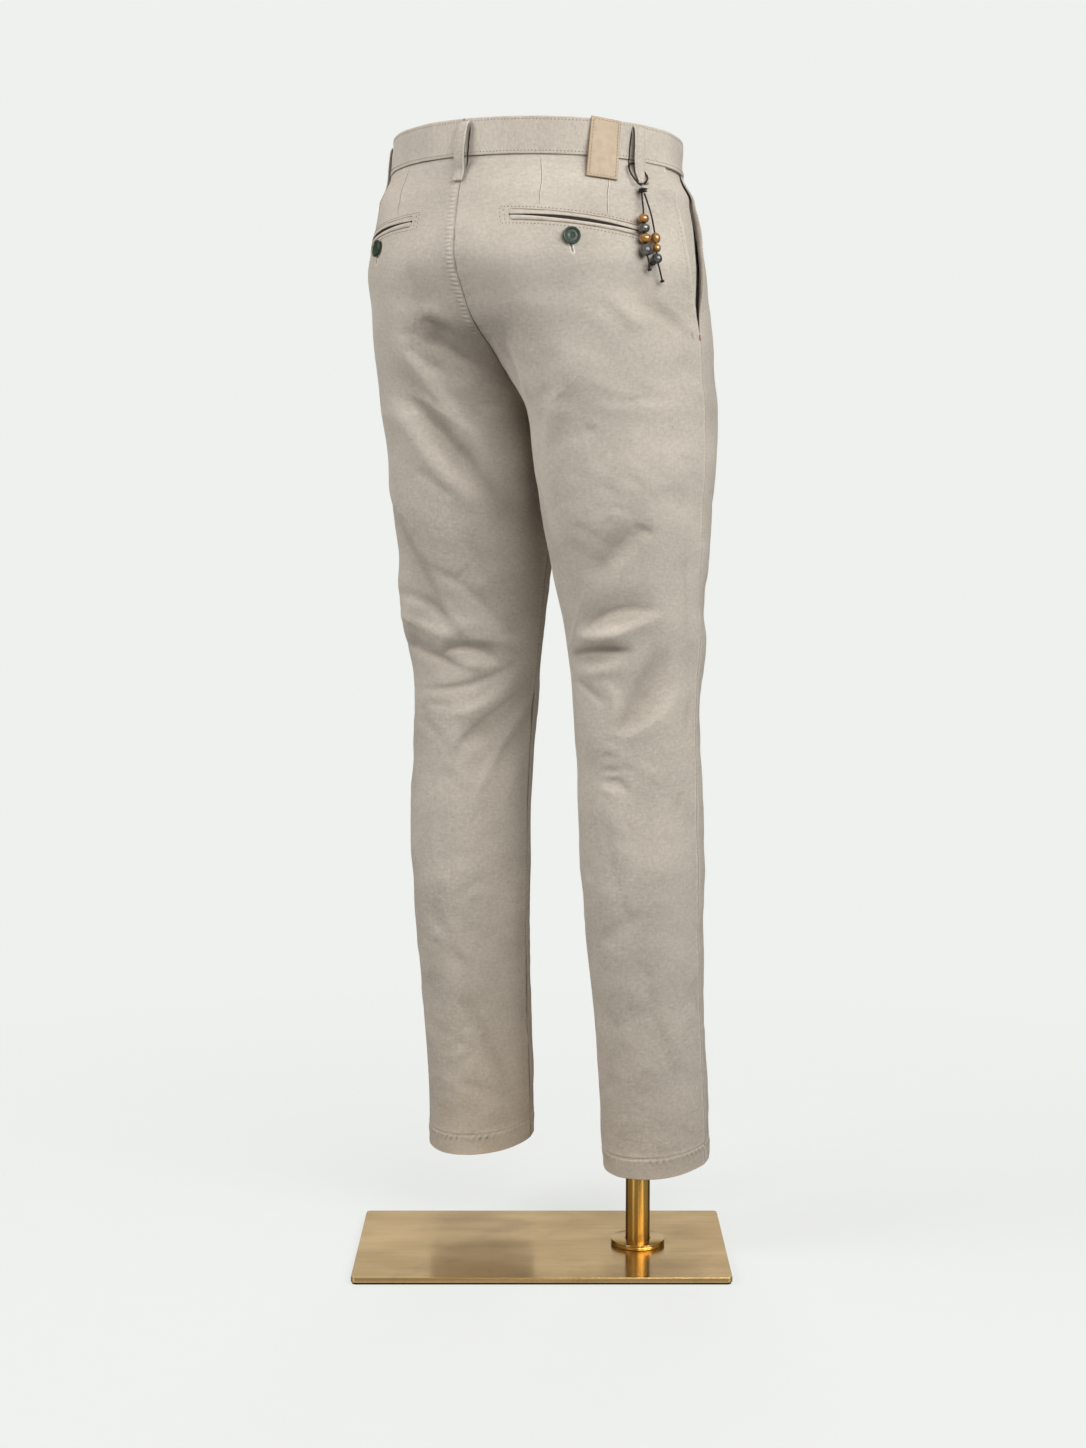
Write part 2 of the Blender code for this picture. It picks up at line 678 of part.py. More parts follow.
def add_tube(name, points, radius, material):
    """A cord or bar: a poly curve with a round bevel and filled caps."""
    curve = bpy.data.curves.new(name, "CURVE")
    curve.dimensions = "3D"
    spline = curve.splines.new("POLY")
    spline.points.add(len(points) - 1)
    for place, point in zip(spline.points, points):
        place.co = (*point, 1.0)
    curve.bevel_depth = radius
    curve.bevel_resolution = 2
    curve.use_fill_caps = True
    curve.materials.append(material)
    tube = bpy.data.objects.new(name, curve)
    PARTS.objects.link(tube)
    return tube


def bead_direction(centre):
    """The direction of the cord through a bead, from the route's neighbouring points."""
    for route in CORD_ROUTES.values():
        for before, here, after in zip(route, route[1:], route[2:]):
            if here == centre:
                return (charm_place(*before) - charm_place(*after)).normalized()
    raise ValueError(f"no cord goes through {centre}")


def bead_profile(radius, half):
    """The (radius, height) loop of a bead with a hole, in metres, down its outer side."""
    widest = math.radians(72)
    side = []
    for step in range(7):
        angle = widest * (1 - step / 3)
        height = half * math.sin(angle) / math.sin(widest)
        side.append((radius * math.cos(angle) ** 0.8 * MM, height * MM))
    return [*side, (BEAD_HOLE, -half * MM), (BEAD_HOLE, half * MM)]


def make_beads():
    for row in BEADS:
        bead = dict(zip(BEAD_COLUMNS, row))
        centre = (bead["turn"], bead["z"], bead["off"])
        axis = bead_direction(centre).to_track_quat("Z", "Y").to_matrix().to_4x4()
        place = Matrix.Translation(charm_place(*centre)) @ axis
        profile = bead_profile(bead["radius"], bead["half"])
        material = GOLD if bead["look"] == "gold" else GREY
        add_turned(bead["name"], profile, BEAD_STEPS, material, place)


def make_knot():
    bm = bmesh.new()
    bmesh.ops.create_uvsphere(bm, u_segments=12, v_segments=7, radius=0.5)
    bmesh.ops.scale(bm, vec=CHARM_KNOT_SIZE, verts=bm.verts)
    knot = add_mesh_object("charm_knot", bm, CORD_DARK)
    knot.matrix_world = Matrix.Translation(charm_place(*CHARM_KNOT))


def make_charm():
    make_beads()
    make_knot()
    for name, points in CORD_ROUTES.items():
        route = smooth_route([charm_place(*point) for point in points], 3)
        add_tube(name, route, CHARM_CORD, CORD_DARK)


# ---------------------------------------------------------------- stand


def plate_matrix(height):
    return Matrix.Translation((0.0, 0.0, height)) @ Matrix.Rotation(STAND_TURN, 4, "Z")


def post_place():
    """The post's axis: it stands on the plate's long middle line."""
    return plate_matrix(0.0) @ Vector((-POST_ALONG, 0.0, 0.0))


def add_rounded_plate(name, size, bottom, corner, edge, material):
    """A flat plate with round corners and softened edges."""
    bm = bmesh.new()
    bmesh.ops.create_cube(bm, size=1.0)
    bmesh.ops.scale(bm, vec=size, verts=bm.verts)
    upright = [e for e in bm.edges if abs(e.verts[0].co.z - e.verts[1].co.z) > size[2] / 2]
    bmesh.ops.bevel(bm, geom=upright, offset=corner, segments=4, affect="EDGES", profile=0.5)
    plate = add_mesh_object(name, bm, material)
    plate.matrix_world = plate_matrix(bottom + size[2] / 2)
    if edge:
        soft = plate.modifiers.new("Softened", "BEVEL")
        soft.width = edge
        soft.segments = 1
        soft.limit_method = "ANGLE"
        soft.angle_limit = math.radians(60)
    return plate


def make_stand_base():
    add_rounded_plate("stand_pad", PAD, 0.0, PLATE_CORNER, 0.0, RUBBER)
    plate_bottom = PAD[2] + GAP
    add_rounded_plate("stand_plate", PLATE, plate_bottom, PLATE_CORNER, 0.0005, BRASS)
    plate_top = plate_bottom + PLATE[2]
    at = post_place()
    at.z = plate_top + GAP
    bore = POST_RADIUS + GAP
    collar = (
        (bore, COLLAR_HEIGHT),
        (COLLAR_RADIUS - 0.0008, COLLAR_HEIGHT),
        (COLLAR_RADIUS, COLLAR_HEIGHT - 0.0008),
        (COLLAR_RADIUS, 0.0032),
        (COLLAR_RADIUS - 0.0006, 0.0028),
        (COLLAR_RADIUS, 0.0024),
        (COLLAR_RADIUS, 0.0006),
        (COLLAR_RADIUS - 0.0006, 0.0),
        (bore, 0.0),
    )
    add_turned("stand_collar", collar, 40, BRASS, Matrix.Translation(at))
    post_top = HOOP_BOTTOM_Z + (HOOP_HEIGHT - BAR_HEIGHT) / 2 - GAP
    height = post_top - at.z
    bm = bmesh.new()
    bmesh.ops.create_cone(
        bm, cap_ends=True, segments=32, radius1=POST_RADIUS, radius2=POST_RADIUS, depth=height
    )
    post = add_mesh_object("stand_post", bm, BRASS)
    post.matrix_world = Matrix.Translation((at.x, at.y, at.z + height / 2))


def hoop_points(off, z):
    """Points all round the waist at a distance off the cloth, on a level ring."""
    quarter = np.linspace(0.0, math.pi, 19)[:-1] - math.pi / 2
    left = cloth_point("left", quarter, z, off, folds=False)
    right = cloth_point("right", quarter[::-1] + math.pi / 18, z, off, folds=False)
    return np.concatenate([left, right])


def make_hoop():
    outside = -(BAND - BAND_PROUD) - GAP - 0.0001
    outer, inner = [], []
    for z in (HOOP_BOTTOM_Z, HOOP_BOTTOM_Z + HOOP_HEIGHT):
        outer.append(hoop_points(outside, z))
        inner.append(hoop_points(outside - HOOP_WALL, z))
    add_wall("waist_hoop", np.array(outer), np.array(inner), BRASS, closed=True)


def make_crossbar():
    """The bar across the hoop, lying on the post's end."""
    at = post_place()
    z = HOOP_BOTTOM_Z + HOOP_HEIGHT / 2
    inside = -(BAND - BAND_PROUD) - GAP - 0.0001 - HOOP_WALL
    angles = np.linspace(-0.5, 0.5, 401)
    ends = []
    for leg in ("left", "right"):
        line = cloth_point(leg, angles, z, inside, folds=False)
        near = np.abs(line[:, 1] - at.y) < BAR_WIDTH / 2 + 0.001
        reach = np.abs(line[near, 0] - GARMENT_AT[0]).min() - 0.0005
        ends.append(GARMENT_AT[0] + reach * (1 if leg == "left" else -1))
    size = (ends[0] - ends[1], BAR_WIDTH, BAR_HEIGHT)
    bm = bmesh.new()
    bmesh.ops.create_cube(bm, size=1.0)
    bmesh.ops.scale(bm, vec=size, verts=bm.verts)
    bar = add_mesh_object("waist_crossbar", bm, BRASS, smooth=False)
    bar.matrix_world = Matrix.Translation(((ends[0] + ends[1]) / 2, at.y, z))
    soft = bar.modifiers.new("Softened", "BEVEL")
    soft.width = 0.0012
    soft.segments = 2


# ---------------------------------------------------------------- the whole object


def main():
    for leg in ("left", "right"):
        make_panels(leg)
        make_pocket_facing(leg)
        make_waistband(leg)
        make_hem(leg)
        make_welts(leg)
        back = math.radians(BUTTON_TURN)
        make_button(f"back_button_{leg}", leg, back, BUTTON_Z, BUTTON_OFF)
    for name, leg, degrees in BELT_LOOPS:
        make_belt_loop(name, leg, degrees)
    make_patch()
    make_fly()
    front = math.radians(WAIST_BUTTON_TURN)
    make_button("waist_button", "left", front, WAIST_BUTTON_Z, BAND_PROUD + BUTTON_OFF)
    make_charm()
    make_stand_base()
    make_hoop()
    make_crossbar()


main()
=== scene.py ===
"""Chino trousers on a brass display stand: the looks of every piece.

Metres, +Z up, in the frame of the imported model. The trousers face -Y. Every cloth piece is
laid over one form, an oval for each leg at each height, and the stand's metal is turned and
bevelled round its own axes.
"""

import logging
from collections.abc import Callable, Sequence
from dataclasses import dataclass, field
from enum import Enum
from functools import partial
from math import cos, degrees, hypot, pi, radians, sin

import bpy
import numpy as np
from mathutils import Matrix, Vector


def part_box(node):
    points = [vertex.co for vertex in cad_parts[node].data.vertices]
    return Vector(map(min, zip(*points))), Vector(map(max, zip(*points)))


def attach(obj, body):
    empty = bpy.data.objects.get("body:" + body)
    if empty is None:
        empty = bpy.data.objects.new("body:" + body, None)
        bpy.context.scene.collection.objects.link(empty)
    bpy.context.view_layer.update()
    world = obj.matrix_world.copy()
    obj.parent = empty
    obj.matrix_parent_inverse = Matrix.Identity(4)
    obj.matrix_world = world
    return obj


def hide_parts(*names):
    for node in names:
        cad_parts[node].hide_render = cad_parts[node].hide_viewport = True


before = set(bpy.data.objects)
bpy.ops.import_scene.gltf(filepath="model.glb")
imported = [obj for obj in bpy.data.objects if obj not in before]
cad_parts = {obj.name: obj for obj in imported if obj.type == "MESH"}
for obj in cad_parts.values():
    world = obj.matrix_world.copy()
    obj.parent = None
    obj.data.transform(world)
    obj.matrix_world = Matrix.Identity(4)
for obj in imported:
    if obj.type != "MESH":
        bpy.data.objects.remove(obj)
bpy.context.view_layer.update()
LOG = logging.getLogger("trousers")
MM = 0.001
Array = np.ndarray
Obj, Material = bpy.types.Object, bpy.types.Material
Node, NodeTree, Socket = bpy.types.Node, bpy.types.NodeTree, bpy.types.NodeSocket
Pair = tuple[float, float]
Triple = tuple[float, float, float]


class Leg(Enum):
    """The wearer's two legs, and the side of the mid-plane that each is on."""

    LEFT = "left"
    RIGHT = "right"

    @property
    def side(self) -> float:
        """+1 for the left leg and -1 for the right."""
        return 1.0 if self is Leg.LEFT else -1.0


class Face(Enum):
    """Which panel of a leg a seam, crease or stitch lies on."""

    BACK = "back"
    FRONT = "front"


class Slot(Enum):
    """The record's material slots."""

    TWILL = "twill"
    LEATHER = "leather"
    BUTTON = "button_green"
    GOLD = "bead_gold"
    GREY = "bead_grey"
    CORD = "charm_cord"
    BRASS = "brass"
    RUBBER = "rubber"


def smooth(value: Array) -> Array:
    """0 below 0, 1 above 1, and an even ease between."""
    value = np.clip(value, 0.0, 1.0)
    return value * value * (3 - 2 * value)


def bell(value: Array, width: float | Array) -> Array:
    """1 at 0, falling away on both sides over that width."""
    return np.exp(-((value / width) ** 2))


@dataclass(frozen=True)
class Crease:
    """A soft trough or ridge in the cloth between two ends, bowed between them.

    Turns are in degrees from a leg's outermost line towards the back; heights, bow, width and
    depth are in mm, and a negative depth is a trough. lean is from -1 to 1 and sharpens one
    flank of the crease, as where cloth is pushed up against itself.
    """

    leg: Leg
    turn_a: float
    z_a: float
    turn_b: float
    z_b: float
    bow: float
    width: float
    depth: float
    lean: float = 0.0


@dataclass(frozen=True)
class Form:
    """The oval form under the cloth, in metres, with the garment's main seams on it.

    The rows give each leg's half-widths, half-depths and centre in mm, and its side seam's
    turn in degrees, at heights in mm. The arcs are metres of cloth for each radian of turn.
    """

    columns: tuple[str, ...] = ("z", "out", "inn", "back", "front", "cx", "cy", "side")
    rows: tuple[tuple[float, ...], ...] = (
        (78, 51, 50.5, 60, 56, 100, -40, -7), (130, 51.5, 51, 60, 57, 99, -38, -8),
        (220, 52, 52, 62, 60, 98.5, -31, -9), (320, 55.5, 56, 66, 63, 98.5, -24, -6),
        (400, 58.5, 59.5, 68, 64, 98.5, -23, -4), (480, 58.5, 59, 68, 65, 95.5, -25, -6),
        (540, 61, 60.5, 68, 68, 92.5, -27, -7), (600, 67, 66, 74, 73, 92, -28, -6),
        (670, 73, 73, 84, 84, 89, -24, -6), (740, 79, 80, 98, 97, 87.5, -22, -5),
        (790, 83, 83, 104, 106, 85.5, -21, -5), (820, 87, 84, 106, 111, 84, -17, -4.5),
        (850, 92, 93.5, 110, 115, 78, -12, -4), (880, 105, 107, 119, 118, 66, -9, -3),
        (920, 129, 180, 135, 120, 41, -5, 0), (960, 156, 180, 145.5, 120, 14, 0, 2.5),
        (990, 160.5, 180, 142, 120, 4, 0, 3), (1015, 160, 180, 133, 122, 0, 3, 3),
        (1043, 146, 180, 125.5, 124, 0, 3, 3), (1077, 143.5, 180, 125, 125, 0, 2, 3),
    )
    hem_z: float = 0.078
    fork_z: float = 0.820
    seam_z: float = 1.043
    top_z: float = 1.077
    mouth_z: float = 0.889
    mouth_degrees: float = 20.0
    gape: float = 0.0046
    gap: float = 0.0001
    cloth: float = 0.0012
    band: float = 0.0022
    band_proud: float = 0.0006
    inseam_forward: float = 13.0
    waist_slope: float = 0.06
    hem_slope: float = -0.10
    stance: tuple[Pair, Pair] = ((-12.0, 8.0), (10.0, -6.0))
    at: Pair = (0.0308, -0.0427)
    thigh_radius: float = 75.0
    waist_arc: float = 0.13
    mouth_arc: float = 0.14
    hem_arc: float = 0.11
    waist_mid: float = 1.05

    def column(self, name: str, z: Array) -> Array:
        """One column of the section table, with no overshoot between rows.

        Args:
            name: the column.
            z: heights in metres.

        Returns:
            The column at those heights, in the table's own unit.
        """
        table = np.array(self.rows, float)
        at, value = table[:, 0], table[:, self.columns.index(name)]
        step = np.diff(at)
        slope = np.diff(value) / step
        before, after = slope[:-1], slope[1:]
        same_way = before * after > 0
        total = np.where(same_way, before + after, 1.0)
        tangent = np.zeros(len(at))
        tangent[1:-1] = np.where(same_way, 2 * before * after / total, 0.0)
        tangent[0], tangent[-1] = slope[0], slope[-1]
        height = np.clip(np.asarray(z) / MM, at[0], at[-1])
        row = np.clip(np.searchsorted(at, height) - 1, 0, len(step) - 1)
        t = (height - at[row]) / step[row]
        ease = t * t * (3 - 2 * t)
        lead = t * (1 - t) ** 2 * step[row] * tangent[row]
        tail = t * t * (1 - t) * step[row] * tangent[row + 1]
        return value[row] * (1 - ease) + value[row + 1] * ease + lead - tail

    def section(self, leg: Leg, z: Array) -> dict[str, Array]:
        """The oval of a leg at the heights z: half-widths, depths and centre, in metres.

        Args:
            leg: the side.
            z: heights in metres.

        Returns:
            Arrays by name.
        """
        oval = {name: self.column(name, z) * MM for name in self.columns[1:-1]}
        share = smooth((0.80 - z) / 0.72)
        shift = self.stance[0] if leg is Leg.LEFT else self.stance[1]
        oval["cx"] = oval["cx"] + shift[0] * MM * share
        oval["cy"] = oval["cy"] + shift[1] * MM * share
        return oval

    def halves(self, leg: Leg, turn: Array, z: Array) -> tuple[dict, Array, Array]:
        """A leg's oval, with its half-width and half-depth on the side of each turn.

        Args:
            leg: the side.
            turn: turns in radians.
            z: heights in metres.

        Returns:
            The oval, the half-widths and the half-depths.
        """
        oval = self.section(leg, z)
        wide = np.where(np.cos(turn) > 0, oval["out"], oval["inn"])
        return oval, wide, np.where(np.sin(turn) > 0, oval["back"], oval["front"])

    def point(self, leg: Leg, turn: Array, z: Array) -> Array:
        """A point of the smooth form, in the garment's own frame.

        Args:
            leg: the side.
            turn: turns in radians.
            z: heights in metres.

        Returns:
            The points.
        """
        oval, wide, deep = self.halves(leg, turn, z)
        x = oval["cx"] + wide * np.cos(turn)
        y = oval["cy"] + deep * np.sin(turn)
        rise = self.waist_slope * smooth((z - 0.90) / 0.18)
        rise = rise + self.hem_slope * smooth((0.35 - z) / 0.27)
        return np.stack([leg.side * x, y, z + rise * y], -1)

    def normal(self, leg: Leg, turn: Array, z: Array) -> Array:
        """The outward normal of the smooth form.

        Args:
            leg: the side.
            turn: turns in radians.
            z: heights in metres.

        Returns:
            Unit vectors.
        """
        step = 1e-4
        around = self.point(leg, turn + step, z) - self.point(leg, turn - step, z)
        upward = self.point(leg, turn, z + step) - self.point(leg, turn, z - step)
        normal = np.cross(around, upward) * leg.side
        return normal / np.linalg.norm(normal, axis=-1, keepdims=True)

    def folds(self, leg: Leg, turn: Array, z: Array, creases: tuple[Crease, ...]) -> Array:
        """The sum of the creases at these points.

        Args:
            leg: the leg that the points are on.
            turn: turns in radians.
            z: heights in metres.
            creases: every crease of the garment; those of the other leg are passed over.

        Returns:
            The distance that the cloth moves out, in metres.
        """
        total = np.zeros(np.broadcast(turn, z).shape)
        for fold in creases:
            if fold.leg is not leg:
                continue
            around = self.thigh_radius * (turn - radians(fold.turn_a))
            upward = z / MM - fold.z_a
            run = self.thigh_radius * radians(fold.turn_b - fold.turn_a)
            rise = fold.z_b - fold.z_a
            length = hypot(run, rise)
            along = (around * run + upward * rise) / length**2
            across = (upward * run - around * rise) / length
            across = across - fold.bow * 4 * along * (1 - along)
            width = fold.width * (1 + fold.lean * np.tanh(across / fold.width))
            reach = smooth((along + 0.18) / 0.4) * smooth((1.18 - along) / 0.4)
            total += fold.depth * MM * reach * bell(across, width)
        return total

    def mid_turn(self, leg: Leg, z: Array, face: Face) -> Array:
        """The turn at which a panel meets the mid-plane, or the inseam below the fork.

        Args:
            leg: the side.
            z: heights in metres.
            face: the panel, front or back.

        Returns:
            Turns in radians.
        """
        oval = self.section(leg, z)
        above = np.arccos(np.clip((self.gap / 2 - oval["cx"]) / oval["inn"], -1.0, 1.0))
        shift = radians(self.inseam_forward) * smooth((self.fork_z - z) / 0.07)
        half_gap = np.where(z < self.fork_z, self.gap / 2 / oval["front"], 0.0)
        if face is Face.BACK:
            return np.where(z < self.fork_z, pi + shift - half_gap, above)
        return np.where(z < self.fork_z, shift - pi + half_gap, -above)

    def side_turn(self, z: Array) -> Array:
        """The turn of the side seam at these heights."""
        return np.radians(self.column("side", z))

    def mouth_turn(self, z: Array) -> Array:
        """The turn of the front panel's outer edge: side seam, or slanted pocket mouth."""
        climb = np.clip((z - self.mouth_z) / (self.seam_z - self.mouth_z), 0.0, 1.0)
        return self.side_turn(z) - radians(self.mouth_degrees) * climb**0.85

    def radius(self, leg: Leg, turn: Array, z: Array) -> Array:
        """Metres of arc for each radian of turn."""
        _, wide, deep = self.halves(leg, turn, z)
        return np.hypot(wide * np.sin(turn), deep * np.cos(turn))


FORM = Form()


@dataclass(frozen=True)
class Noise:
    """Smooth seeded unevenness over a sheet, made by easing between random knots."""

    seed: int
    knots: int = 64

    def at(self, u: Array, v: Array) -> Array:
        """Values from about -1 to 1 at the places u, v, counted in knots.

        Args:
            u: places across.
            v: places along.

        Returns:
            One value for each place.
        """
        grid = np.random.default_rng(self.seed).uniform(-1.0, 1.0, (self.knots, self.knots))
        u0, v0 = np.floor(u).astype(int), np.floor(v).astype(int)
        a, b = smooth(u - u0), smooth(v - v0)
        rows, columns = v0 % self.knots, u0 % self.knots
        below, right = (rows + 1) % self.knots, (columns + 1) % self.knots
        low = grid[rows, columns] * (1 - a) + grid[rows, right] * a
        high = grid[below, columns] * (1 - a) + grid[below, right] * a
        return low * (1 - b) + high * b


@dataclass(frozen=True)
class Cloth:
    """The garment's cloth as a surface: the form with its creases and soft unevenness."""

    creases: tuple[Crease, ...]

    def unevenness(self, leg: Leg, turn: Array, z: Array) -> Array:
        """The small ripples between the creases, in metres.

        Args:
            leg: the side.
            turn: turns in radians.
            z: heights in metres.

        Returns:
            Heights of the ripples.
        """
        seed = 11 if leg is Leg.LEFT else 29
        arc = turn * FORM.thigh_radius * MM
        leg_share = smooth((0.97 - z) / 0.16)
        broad = Noise(seed).at(40 + (arc + 0.35 * z) / 0.045, 7 + (z - 0.45 * arc) / 0.030)
        fine = Noise(seed + 1).at(40 + (arc + 0.5 * z) / 0.017, 5 + (z - 0.6 * arc) / 0.011)
        patchy = smooth(0.5 + Noise(seed + 2).at(40 + arc / 0.08, 9 + z / 0.09))
        return MM * ((0.25 + 0.60 * leg_share) * broad + (0.14 + 0.36 * leg_share) * patchy * fine)

    def point(self, leg: Leg, turn: Array, z: Array, off: Array = 0.0) -> Array:
        """A point of the cloth's outer face moved off it.

        Args:
            leg: the leg.
            turn: turns in radians from the outermost line to the back.
            z: heights in metres.
            off: distance along the form's normal, in metres.

        Returns:
            Points in the part's frame, in metres.
        """
        turn, z, off = np.broadcast_arrays(
            np.asarray(turn, float), np.asarray(z, float), np.asarray(off, float)
        )
        place = FORM.point(leg, turn, z)
        normal = FORM.normal(leg, turn, z)
        near = smooth(np.abs(place[..., 0]) / 0.045)
        calm = smooth((1.046 - z) / 0.03)
        depth = FORM.folds(leg, turn, z, self.creases) * near
        depth = depth + self.unevenness(leg, turn, z) * (0.15 + 0.85 * near) * calm
        moved = normal.copy()
        moved[..., 0] *= near
        place = place + moved * depth[..., None] + normal * off[..., None]
        place[..., 0] += FORM.at[0]
        place[..., 1] += FORM.at[1]
        return place

    def facing(self, leg: Leg, turn: float, z: float) -> Vector:
        """The cloth's own outward direction at one point, its creases included.

        Args:
            leg: the side.
            turn: its turn in radians.
            z: its height in metres.

        Returns:
            A unit vector.
        """
        step = 4e-4
        around = self.point(leg, turn + step / 0.075, z) - self.point(leg, turn - step / 0.075, z)
        upward = self.point(leg, turn, z + step) - self.point(leg, turn, z - step)
        return Vector(np.cross(around, upward) * leg.side).normalized()


class Maker:
    """Makes finished objects from points and faces, and hands each one to the frame."""

    @staticmethod
    def clear_selection() -> None:
        """Leaves object mode with nothing selected."""
        if bpy.context.object and bpy.context.object.mode != "OBJECT":
            bpy.ops.object.mode_set(mode="OBJECT")
        bpy.ops.object.select_all(action="DESELECT")

    @classmethod
    def edit(cls, obj: Obj, *steps: Callable[[], object]) -> None:
        """Runs steps in edit mode, each on the whole of a piece, and leaves it active.

        Args:
            obj: the piece.
            steps: what is called in turn.
        """
        cls.clear_selection()
        bpy.context.view_layer.objects.active = obj
        obj.select_set(True)
        bpy.ops.object.mode_set(mode="EDIT")
        for step in steps:
            bpy.ops.mesh.select_all(action="SELECT")
            step()
        bpy.ops.object.mode_set(mode="OBJECT")

    @classmethod
    def outwards(cls, obj: Obj) -> Obj:
        """Turns every face of a closed piece outwards."""
        cls.edit(obj, partial(bpy.ops.mesh.normals_make_consistent, inside=False))
        obj.select_set(False)
        return obj

    @staticmethod
    def finish(obj: Obj, material: Material, slot: Slot, nodes: tuple[str, ...] = ()) -> Obj:
        """Dresses a piece, puts it on the frame and hides the CAD nodes it stands for.

        Args:
            obj: the piece, at the origin.
            material: its finish, in the first slot.
            slot: the record's slot; not used.
            nodes: the CAD nodes that it replaces.

        Returns:
            The same piece.
        """
        if not obj.data.materials:
            obj.data.materials.append(material)
        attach(obj, "root")
        if nodes:
            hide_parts(*nodes)
        LOG.info("%s: %d faces", obj.name, len(obj.data.polygons))
        return obj

    @staticmethod
    def mesh(
        name: str,
        points: Array,
        faces: Array | list[tuple[int, ...]],
        uv: Array | None = None,
        values: dict[str, Array] | None = None,
    ) -> Obj:
        """An object from points and faces, shaded smooth.

        Args:
            name: the piece's name.
            points: one row for each vertex.
            faces: rows of vertex numbers.
            uv: a pattern coordinate for each vertex, in metres.
            values: named numbers for each vertex, read by the materials.

        Returns:
            The object, linked to the scene.
        """
        mesh = bpy.data.meshes.new(name)
        rows = faces if isinstance(faces, list) else faces.tolist()
        mesh.from_pydata(points.reshape(-1, 3).tolist(), [], rows)
        if uv is not None:
            layer = mesh.uv_layers.new(name="Weave")
            corner = np.zeros(len(mesh.loops), np.int32)
            mesh.loops.foreach_get("vertex_index", corner)
            layer.data.foreach_set("uv", uv.reshape(-1, 2)[corner].astype(np.float32).ravel())
        for key, value in (values or {}).items():
            layer = mesh.attributes.new(key, "FLOAT", "POINT")
            layer.data.foreach_set("value", np.asarray(value, np.float32).ravel())
        mesh.shade_smooth()
        obj = bpy.data.objects.new(name, mesh)
        bpy.context.scene.collection.objects.link(obj)
        return obj

    @staticmethod
    def arc(points: Array) -> Array:
        """The length run along each row of a grid of points, or along one line of them."""
        steps = np.diff(points, axis=-2, prepend=points[..., :1, :])
        return np.linalg.norm(steps, axis=-1).cumsum(-1)

    @staticmethod
    def spread(start: Array, end: Array, share: Array) -> Array:
        """Rows of values from one edge to the other, at those shares of the way."""
        return start[:, None] + (end - start)[:, None] * share

    @staticmethod
    def grid_faces(rows: int, columns: int, first: int = 0, flip: bool = False) -> Array:
        """The faces of a grid of points numbered row by row.

        Args:
            rows: how many rows of points it has.
            columns: how many points a row has.
            first: the number of the first point.
            flip: whether the faces look the other way.

        Returns:
            Four point numbers for each face.
        """
        start = first + np.arange(rows - 1)[:, None] * columns + np.arange(columns - 1)[None, :]
        quads = np.stack([start, start + 1, start + columns + 1, start + columns], -1)
        return quads.reshape(-1, 4)[:, :: -1 if flip else 1]

    @staticmethod
    def rim(rows: int, columns: int) -> Array:
        """The vertex numbers round the edge of a grid, in order."""
        n = np.arange(rows * columns).reshape(rows, columns)
        return np.concatenate([n[0], n[1:, -1], n[-1, -2::-1], n[-2:0:-1, 0]])

    @classmethod
    def shell(
        cls, name: str, outer: Array, inner: Array, flip: bool, uv: Array, values: dict[str, Array]
    ) -> Obj:
        """A closed wall between two grids of points.

        Args:
            name: the piece's name.
            outer: points of the outer face, rows by columns.
            inner: the matching points of the inner face.
            flip: turns the faces, for grids that run the other way round.
            uv: a pattern coordinate for each point of one face.
            values: named numbers for each point of one face.

        Returns:
            The wall.
        """
        rows, columns = outer.shape[:2]
        count, rim = rows * columns, cls.rim(rows, columns)
        after = np.roll(rim, -1)
        edge = np.stack([rim, rim + count, after + count, after], -1)
        front = cls.grid_faces(rows, columns, 0, flip)
        back = cls.grid_faces(rows, columns, count, not flip)
        faces = np.concatenate([front, back, edge[:, :: -1 if flip else 1]])
        both = np.concatenate([outer.reshape(-1, 3), inner.reshape(-1, 3)])
        pattern = np.concatenate([uv.reshape(-1, 2)] * 2)
        numbers = {key: np.concatenate([np.ravel(value)] * 2) for key, value in values.items()}
        numbers["inside"] = np.repeat([0.0, 1.0], count)
        return cls.mesh(name, both, faces, pattern, numbers)

    @classmethod
    def tube_points(
        cls, path: Array, radius: Array | float, sides: int
    ) -> tuple[Array, list[tuple[int, ...]]]:
        """Rings round a path, with the faces between them and across both ends.

        Args:
            path: the points of its middle line, in metres.
            radius: one for all or one for each point.
            sides: how many points a ring has.

        Returns:
            The points and the faces.
        """
        path = np.asarray(path, float)
        count = len(path)
        tangent = np.gradient(path, axis=0)
        tangent /= np.linalg.norm(tangent, axis=1, keepdims=True)
        across = np.cross(tangent[0], [0.31, 0.17, 0.93])
        angle = np.linspace(0, 2 * pi, sides, endpoint=False)[:, None]
        rings = []
        for spot, ahead, size in zip(path, tangent, np.broadcast_to(radius, count)):
            across = across - ahead * np.dot(across, ahead)
            across = across / np.linalg.norm(across)
            ring = np.cos(angle) * across + np.sin(angle) * np.cross(ahead, across)
            rings.append(spot + size * ring)
        around = [(s, (s + 1) % sides) for s in range(sides)]
        faces, last, start = [], (count - 1) * sides, count * sides
        for a in range(0, last, sides):
            faces += [(a + s, a + t, a + sides + t, a + sides + s) for s, t in around]
        for s, t in around:
            faces += [(start, t, s), (start + 1, last + s, last + t)]
        return np.concatenate([*rings, path[:1], path[-1:]]), faces

